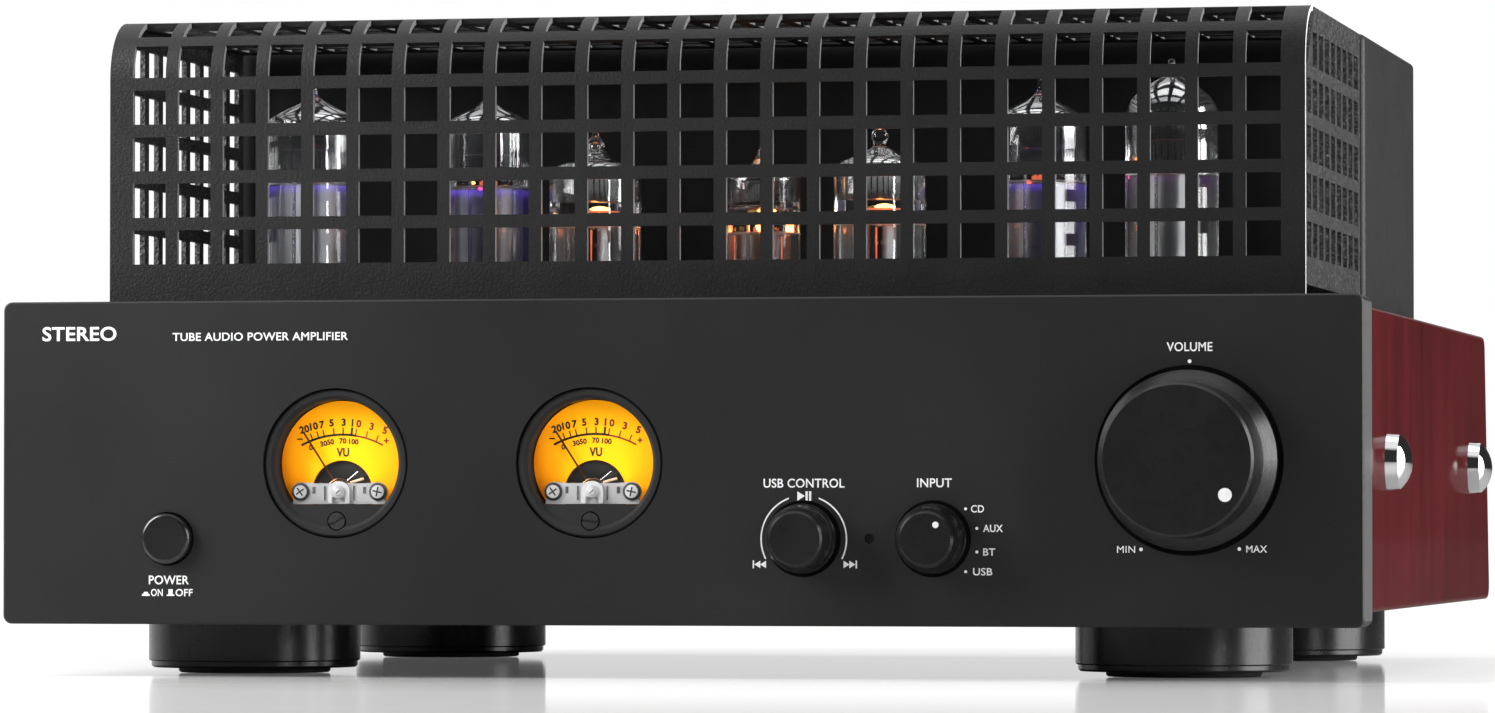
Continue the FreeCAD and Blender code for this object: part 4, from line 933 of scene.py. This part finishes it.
def letter(made, words, x, z, height, width=None, bold=0.012, material=WHITE_INK, turn=0.0, way=1):
    """Words centred on (x, z) that face the front; way is -1 for the back."""
    verts, faces = text_mesh(words, bold)
    scale_z = height / (CAP_LINE - BASELINE)
    low, high = verts[:, 0].min(), verts[:, 0].max()
    scale_x = width / (high - low) if width else scale_z
    u = (verts[:, 0] - (low + high) / 2) * scale_x
    v = (verts[:, 1] - (BASELINE + CAP_LINE) / 2) * scale_z
    depth = verts[:, 2] * INK * 2
    c, s = cos(radians(turn)), sin(radians(turn))
    across, up = u * c + v * s, v * c - u * s
    placed = [(x + way * a, -way * d, z + b) for a, b, d in zip(across, up, depth)]
    made.add(placed, faces, material)


def plate(made, ring, material=WHITE_INK, lift=0.0):
    """A flat printed shape from (x, z) points."""
    made.prism(ring, -INK - lift, INK - lift, material, "y")


def band(made, x, z, radius, width, start, finish, material=WHITE_INK, steps=40):
    """A curved printed line, angles in degrees clockwise from the top."""
    edges = [arc(radius + side * width / 2, 90 - start, 90 - finish, steps, x, z) for side in (1, -1)]
    verts = [(px, depth, pz) for depth in (-INK, INK) for edge in edges for px, pz in edge]
    n = steps + 1
    faces = [[0, n, 3 * n, 2 * n], [n - 1, 3 * n - 1, 4 * n - 1, 2 * n - 1]]
    for k in range(steps):
        a, b, c, d = k, k + 1, n + k + 1, n + k
        faces += [[a, b, c, d], [2 * n + d, 2 * n + c, 2 * n + b, 2 * n + a], [a, 2 * n + a, 2 * n + b, b],
                  [d, c, 2 * n + c, 2 * n + d]]
    made.add(verts, faces, material)


def triangle(x, z, size, way):
    """Arrowhead that points right, or left where way is -1."""
    back = x - way * size * 0.5
    return [(back, z + size * 0.62), (back, z - size * 0.62), (x + way * size * 0.5, z)]


# Words, x, z, height, width, and the boldness where it isn't the usual one.
PANEL_WORDS = (
    ("STEREO", -137.0, 77.4, 3.0, 17.5, 0.02),
    ("TUBE AUDIO POWER AMPLIFIER", -94.5, 76.6, 1.75, 41.0),
    ("POWER", -115.8, 21.7, 1.9, 9.4), ("ON", -118.6, 18.85, 1.55, 2.75),
    ("OFF", -112.2, 18.85, 1.55, 4.0), ("USB CONTROL", 30.55, 43.4, 1.9, 18.3),
    ("INPUT", 59.9, 43.45, 1.9, 7.8), ("CD", 69.55, 37.7, 1.55, 2.9),
    ("AUX", 73.0, 33.4, 1.55, 4.4), ("BT", 72.15, 28.2, 1.55, 2.7),
    ("USB", 70.7, 23.85, 1.55, 4.3), ("VOLUME", 116.7, 73.2, 1.9, 10.1),
    ("MIN", 102.6, 28.8, 1.5, 4.0, 0.0), ("MAX", 131.4, 28.9, 1.5, 4.6, 0.008),
)
# Dots by the input words and round the volume knob: radius, x, z.
PANEL_DOTS = (
    (0.34, 66.9, 37.7), (0.34, 69.4, 33.4), (0.34, 69.4, 28.2), (0.34, 66.9, 23.85),
    (0.42, 116.7, 70.0), (0.4, 105.9, 28.8), (0.4, 127.6, 28.9),
)
# Right halves of the two button marks, pressed and released, with their middle x.
BUTTON_MARKS = ((-121.2, [(0.9, 18.1), (0.9, 18.4), (0.6, 18.6), (0.4, 19.0)]),
                (-115.4, [(0.9, 18.1), (0.9, 18.4), (0.5, 18.4), (0.5, 19.6)]))
BACK_WORDS = (
    ("SPEAKERS", -84.0, 67.5, 2.4), ("R", -108.0, 62.0, 2.2), ("L", -60.0, 62.0, 2.2),
    ("CD", -10.0, 62.0, 2.2), ("AUX", 32.0, 62.0, 2.2), ("INPUT", 11.0, 67.5, 2.4),
    ("AC IN", 100.0, 68.5, 2.4),
)


def usb_marks(made):
    """Play and pause mark, the two arcs, and the skip marks at their ends."""
    play_z, skip_z = 40.55, 25.4
    plate(made, triangle(29.9, play_z, 1.7, 1))
    for x in (31.15, 31.95):
        plate(made, bar(x, play_z, 0.5, 2.1))
    for start, finish in ((-117.0, -20.5), (20.5, 117.0)):
        band(made, 30.5, 31.0, 9.65, 0.33, start, finish)
    for way, x in ((-1, 20.75), (1, 40.7)):
        for step in (-0.55, 0.75):
            plate(made, triangle(x + way * step, skip_z, 1.35, way))
        plate(made, bar(x + way * 1.65, skip_z, 0.32, 1.75))


def print_panel():
    made = Build((0, FACE, 0))
    for row in PANEL_WORDS:
        letter(made, *row)
    for radius, x, z in PANEL_DOTS:
        plate(made, circle(radius, 20, x, z))
    for x, half in BUTTON_MARKS:
        plate(made, mirrored(half, x))
    usb_marks(made)
    made.make("panel_printing", sharp=30.0)


def print_back():
    """Plain function words by the connectors."""
    made = Build((0, span("rear_panel")[1][1], 0))
    for row in BACK_WORDS:
        letter(made, *row, way=-1)
    made.make("back_printing", sharp=30.0)


# The dial's scale is an arc; places on it are given by x, from the needle's pivot.
SCALE_RADIUS = 20.0
SCALE_MIDDLE = 12.9 - SCALE_RADIUS
FULL_TICK = 2.15
BLACK_TICKS = (-6.9, -5.5, -4.2, -1.9, 0.2, FULL_TICK)
RED_TICKS = (3.1, 5.5, 7.85)
# Ink and height, then each number with its x and its distance from the arc.
DIAL_NUMBERS = (
    (BLACK_INK, 1.5, (("20", -7.7, 3.0), ("10", -5.8, 2.9), ("7", -4.15, 2.8), ("5", -2.2, 2.8),
                      ("3", 0.3, 2.8), ("1", 2.1, 2.8))),
    (RED_INK, 1.5, (("0", 3.4, 2.8), ("3", 6.0, 2.9), ("5", 8.6, 3.2))),
    (BLACK_INK, 1.1, (("30", -4.7, -1.5), ("50", -2.95, -1.45), ("70", 0.15, -1.4), ("100", 2.9, -1.4),
                      ("0", -7.9, -1.4))),
)


def on_scale(x, out):
    """Point at a distance outside the arc, and the arc's angle there."""
    a = asin(x / SCALE_RADIUS)
    reach = SCALE_RADIUS + out
    return reach * sin(a), SCALE_MIDDLE + reach * cos(a), a


def print_scale(made):
    """The arc, black and then red, with its ticks."""
    zero = degrees(asin(3.2 / SCALE_RADIUS))
    end = degrees(asin(9.5 / SCALE_RADIUS))
    band(made, 0, SCALE_MIDDLE, SCALE_RADIUS, 0.52, -end, zero, BLACK_INK)
    band(made, 0, SCALE_MIDDLE, SCALE_RADIUS - 0.02, 0.4, zero, end, RED_INK)
    for x in BLACK_TICKS + RED_TICKS:
        half, length = (0.25, 1.75) if x == FULL_TICK else (0.15, 1.55)
        ring = []
        for side, out in ((-half, 0), (half, 0), (half, length), (-half, length)):
            px, pz, a = on_scale(x, out)
            ring.append((px + side * cos(a), pz - side * sin(a)))
        plate(made, ring, BLACK_INK if x in BLACK_TICKS else RED_INK)


def print_dials():
    made = Build()
    plane = span("meter_dials")[0][1]
    for centre in METER_X:
        made.origin = (centre, plane, PIVOT_Z)
        print_scale(made)
        for ink, height, numbers in DIAL_NUMBERS:
            for words, x, out in numbers:
                px, pz, a = on_scale(x, out)
                letter(made, words, px, pz, height, None, 0.045, ink, degrees(a) * 0.6)
        letter(made, "VU", 0.15, 8.9, 1.8, 2.95, 0.04, BLACK_INK)
        plate(made, bar(-9.9, 11.9, 1.3, 0.34), BLACK_INK)
        plate(made, bar(10.3, 11.5, 1.2, 0.34), RED_INK)
        plate(made, bar(10.3, 11.5, 0.34, 1.2), RED_INK, 0.01)
    made.make("dial_printing", sharp=30.0)


# ---- Meters ----

BRIDGE_Y = FACE + 3.8
POST_X = 9.0


def screw_head(made, x, y, radius, cross, turn):
    """Domed head with a slot or a cross painted on as a near-black bar for shade, facing the front."""
    profile = [(0, y + 0.5), (radius, y + 0.5), (radius, y), (radius * 0.92, y - 0.18),
               (radius * 0.55, y - 0.3), (0, y - 0.33)]
    made.lathe(profile, SCREW, (x, 0, 0), 28, "y")
    # The slot is not cut: a near-black bar on the head is painted shade for its groove.
    for angle in ((turn, turn + 90.0) if cross else (turn,)):
        c, s = cos(radians(angle)), sin(radians(angle))
        slot = [(x + u * c - v * s, u * s + v * c) for u, v in bar(0, 0, 1.44 * radius, 0.24 * radius)]
        made.prism(slot, y - 0.36, y - 0.28, DARK_SLOT, "y")


def bridge_plate(made):
    """Plate across the meter with a round ear at each end."""
    half = [(10.9, -2.75)] + arc(2.15, -40, 90, 8, POST_X) + [(5.4, 1.9)]
    made.prism(mirrored(half), 0, 0.6, BRIDGE, "y")


def bridge_end(made, side):
    """Screw, its washer and post, and the stamped marks of one half of the bridge."""
    at = (side * POST_X, 0, 0)
    made.lathe([(0, 0.1), (2.05, 0.1), (2.05, -0.25), (1.8, -0.4), (0, -0.4)], DARK_SLOT, at, 28, "y")
    screw_head(made, side * POST_X, -0.55, 1.5, True, 35.0 if side < 0 else 78.0)
    made.prism(bar(side * 5.9, 0.35, 0.7, 1.5), -0.12, 0, NICKEL, "y")
    made.prism(bar(side * 3.4, -0.3, 0.35, 3.2), -0.18, 0, NICKEL, "y")
    made.lathe([(0, 0.5), (1.1, 0.5), (1.1, 3.2), (0, 3.2)], NICKEL, at, 20, "y")


def pivot_carrier(made):
    """Arched plate in the middle of the bridge, with the pivot's bearing screw."""
    arch = [(2.5 * cos(a), 2.35 * sin(a) ** 0.9) for a in (pi * k / 12 for k in range(13))]
    legs = [(-2.5, -2.55), (-1.5, -2.55), (-1.5, -1.2), (1.5, -1.2), (1.5, -2.55), (2.5, -2.55)]
    made.prism(legs + arch, -0.55, -0.02, CARRIER, "y")
    made.lathe([(0, 0), (1.45, 0), (1.45, -0.85), (1.2, -1.0), (0, -1.0)], BRIDGE, steps=28, axis="y")
    screw_head(made, 0, -1.0, 0.85, False, 40.0)


def hairspring(made):
    """Flat spiral spring behind the bridge, 28 points to a turn."""
    turns = [2 * pi * k / 28 for k in range(110)]
    radii = [1.5 + 0.45 * a / 6.28 for a in turns]
    made.tube([(r * cos(a), 0.62, r * sin(a)) for a, r in zip(turns, radii)], 0.07, SPRING, 6)


def moving_coil_wires(made):
    """Short bright wires and tubes that fan out behind the pivot; the thick copper tubes are partly the
    coil's wire, partly painted glints off it.
    """
    for start, finish, radius, metal in ((62, 50, 0.12, NICKEL), (45, 30, 0.3, COPPER_GLINT),
                                         (24, 14, 0.34, COPPER_GLINT), (150, 160, 0.12, NICKEL)):
        one, two = radians(start), radians(finish)
        made.tube([(2.9 * cos(one), 1.85, 2.9 * sin(one)), (5.9 * cos(two), 2.0, 5.9 * sin(two))], radius,
                  metal, 8)


def build_movements():
    """The parts of both meters that show in front of the dial, except the needles."""
    made = Build()
    for centre in METER_X:
        made.origin = (centre, BRIDGE_Y, PIVOT_Z)
        bridge_plate(made)
        bridge_end(made, -1)
        bridge_end(made, 1)
        pivot_carrier(made)
        hairspring(made)
        moving_coil_wires(made)
    made.make("meter_bridges", ["meter_movements"], 35.0)


# ---- Knobs ----

def dark_knob_rings():
    """Thin near-black rings on the panel behind the knobs, a little wider than the knobs."""
    # Each near-black ring lies on the panel and reaches a little past its knob's rim.
    material = near_black_finish()
    for node, proud in (("volume_knob", 1.1), ("usb_knob", 0.75), ("input_knob", 0.75)):
        centre, radius = middle(node)
        outer = radius + proud
        made = Build((centre[0], FACE, centre[2]))
        made.lathe([(5.0, 0.05), (5.0, -0.15), (outer - 0.1, -0.15), (outer, -0.05),
                    (outer, 0.05)], material, steps=96, axis="y")
        made.make(node + "_felt")


def knob_marks():
    """White paint that fills the dimples of the knobs."""
    for node, body, angle, radius, size in (("volume_knob", "volume_control", 126.0, 13.0, 1.52),
                                            ("input_knob", "input_selector", 36.0, 3.8, 0.72)):
        centre = middle(node)[0]
        a = radians(angle)
        made = Build((centre[0] + radius * sin(a), span(node)[0][1], centre[2] + radius * cos(a)))
        made.lathe([(0, 0.26), (size, 0.26), (size, 0.06), (size * 0.8, 0.03), (0, 0.02)], WHITE_INK,
                   steps=32, axis="y")
        made.make(node + "_dot", body=body)


# ---- Stage ----

WHITE = (1, 1, 1, 1)
MIDDLE = (0.0, 0.0, 0.08)
# Name, place, what it points at, width and height, power.
LIGHTS = (
    ("key_left", (-0.58, -0.38, 0.38), (-0.1, -0.1, 0.07), (0.35, 0.45), 8.2),
    ("side_right", (1.5, -0.05, 0.4), MIDDLE, (0.9, 0.9), 27.0),
    ("strip_right", (1.0, -0.95, 0.4), MIDDLE, (0.12, 0.6), 5.6),
    ("top_soft", (0.0, 0.2, 1.1), MIDDLE, (1.1, 0.6), 2.2),
)


def build_lights():
    for name, place, target, (width, height), power in LIGHTS:
        light = bpy.data.lights.new(name, "AREA")
        light.shape = "RECTANGLE"
        light.size = width
        light.size_y = height
        light.energy = power
        made = add_object(name, light)
        made.location = place
        aim = Vector(target) - Vector(place)
        made.rotation_euler = aim.to_track_quat("-Z", "Y").to_euler()


def floor_finish():
    """Pale floor, faintly glossy, that fades to white away from the object; a glow seen only by the camera
    paints light on it, weakest near the object, where the floor reads darker as painted shade.
    """
    material, tree = bare_material("floor_white")
    matt = add_node(tree, "BsdfDiffuse", {"Color": (*grey(0.55), 1)})
    gloss = add_node(tree, "BsdfGlossy", {"Color": WHITE, "Roughness": 0.08})
    shine = spread(add_node(tree, "Fresnel", {"IOR": 1.4}).outputs[0], 0.0, 0.72)
    mix = add_node(tree, "MixShader", {"Fac": shine, 1: matt.outputs[0], 2: gloss.outputs[0]})
    seen = add_node(tree, "LightPath").outputs["Is Camera Ray"]
    away = add_node(tree, "VectorMath", {0: position(tree)}, operation="LENGTH").outputs["Value"]
    # Painted light: weak within about 0.15 m of the middle, leaving painted shade round the object, then
    # growing to white further off.
    level = plus(spread(away, 0.06, 0.18, 0.15, 0.26), spread(away, 0.0, 0.22, 0.26, 1.4))
    lit = add_node(tree, "Emission", {"Color": WHITE, "Strength": times(seen, level)})
    show(add_node(tree, "AddShader", {0: mix.outputs[0], 1: lit.outputs[0]}))
    return material


def build_floor():
    width, z = 18.0, -0.0002
    mesh = bpy.data.meshes.new("floor")
    mesh.from_pydata([(x, y, z) for x, y in bar(0, 0, width, width)], [], [[0, 1, 2, 3]])
    mesh.materials.append(floor_finish())
    add_object("floor", mesh)


def build_world():
    """White surroundings behind and above, dimmer in front, plain white as a backdrop."""
    world = bpy.data.worlds.new("studio")
    SCENE.world = world
    world.use_nodes = True
    tree = world.node_tree
    behind = spread(along(tree, "Y", "Generated"), 0.0, 1.0, -0.1, 0.3)
    left = spread(along(tree, "X", "Generated"), 1.0, 0.0, -0.02, 0.09)
    above = spread(along(tree, "Z", "Generated"), 0.0, 1.0, 0.72, 0.86)
    level = maths("MAXIMUM", times(behind, left), above)
    level = spread(level, 0.03, 1.0)
    soft = add_node(tree, "Background", {"Color": WHITE, "Strength": level})
    plain = add_node(tree, "Background", {"Color": WHITE, "Strength": 1.0})
    seen = add_node(tree, "LightPath").outputs["Is Camera Ray"]
    mix = add_node(tree, "MixShader", {"Fac": seen, 1: soft.outputs[0], 2: plain.outputs[0]})
    show(mix, "World Output")


def build_camera():
    data = bpy.data.cameras.new("camera")
    data.sensor_width = 36.0
    data.lens = 162.48
    data.clip_start = 0.05
    data.clip_end = 50.0
    camera = add_object("camera", data)
    camera.location = (0.3247, -1.604, 0.0354)
    camera.rotation_euler = (radians(91.382), 0.0, radians(11.825))
    SCENE.camera = camera


def set_look():
    view = SCENE.view_settings
    view.view_transform = "Standard"
    view.look = "None"


dress_frame()
build_valves()
build_movements()
print_panel()
print_back()
print_dials()
dark_knob_rings()
knob_marks()
build_floor()
build_world()
build_lights()
build_camera()
set_look()
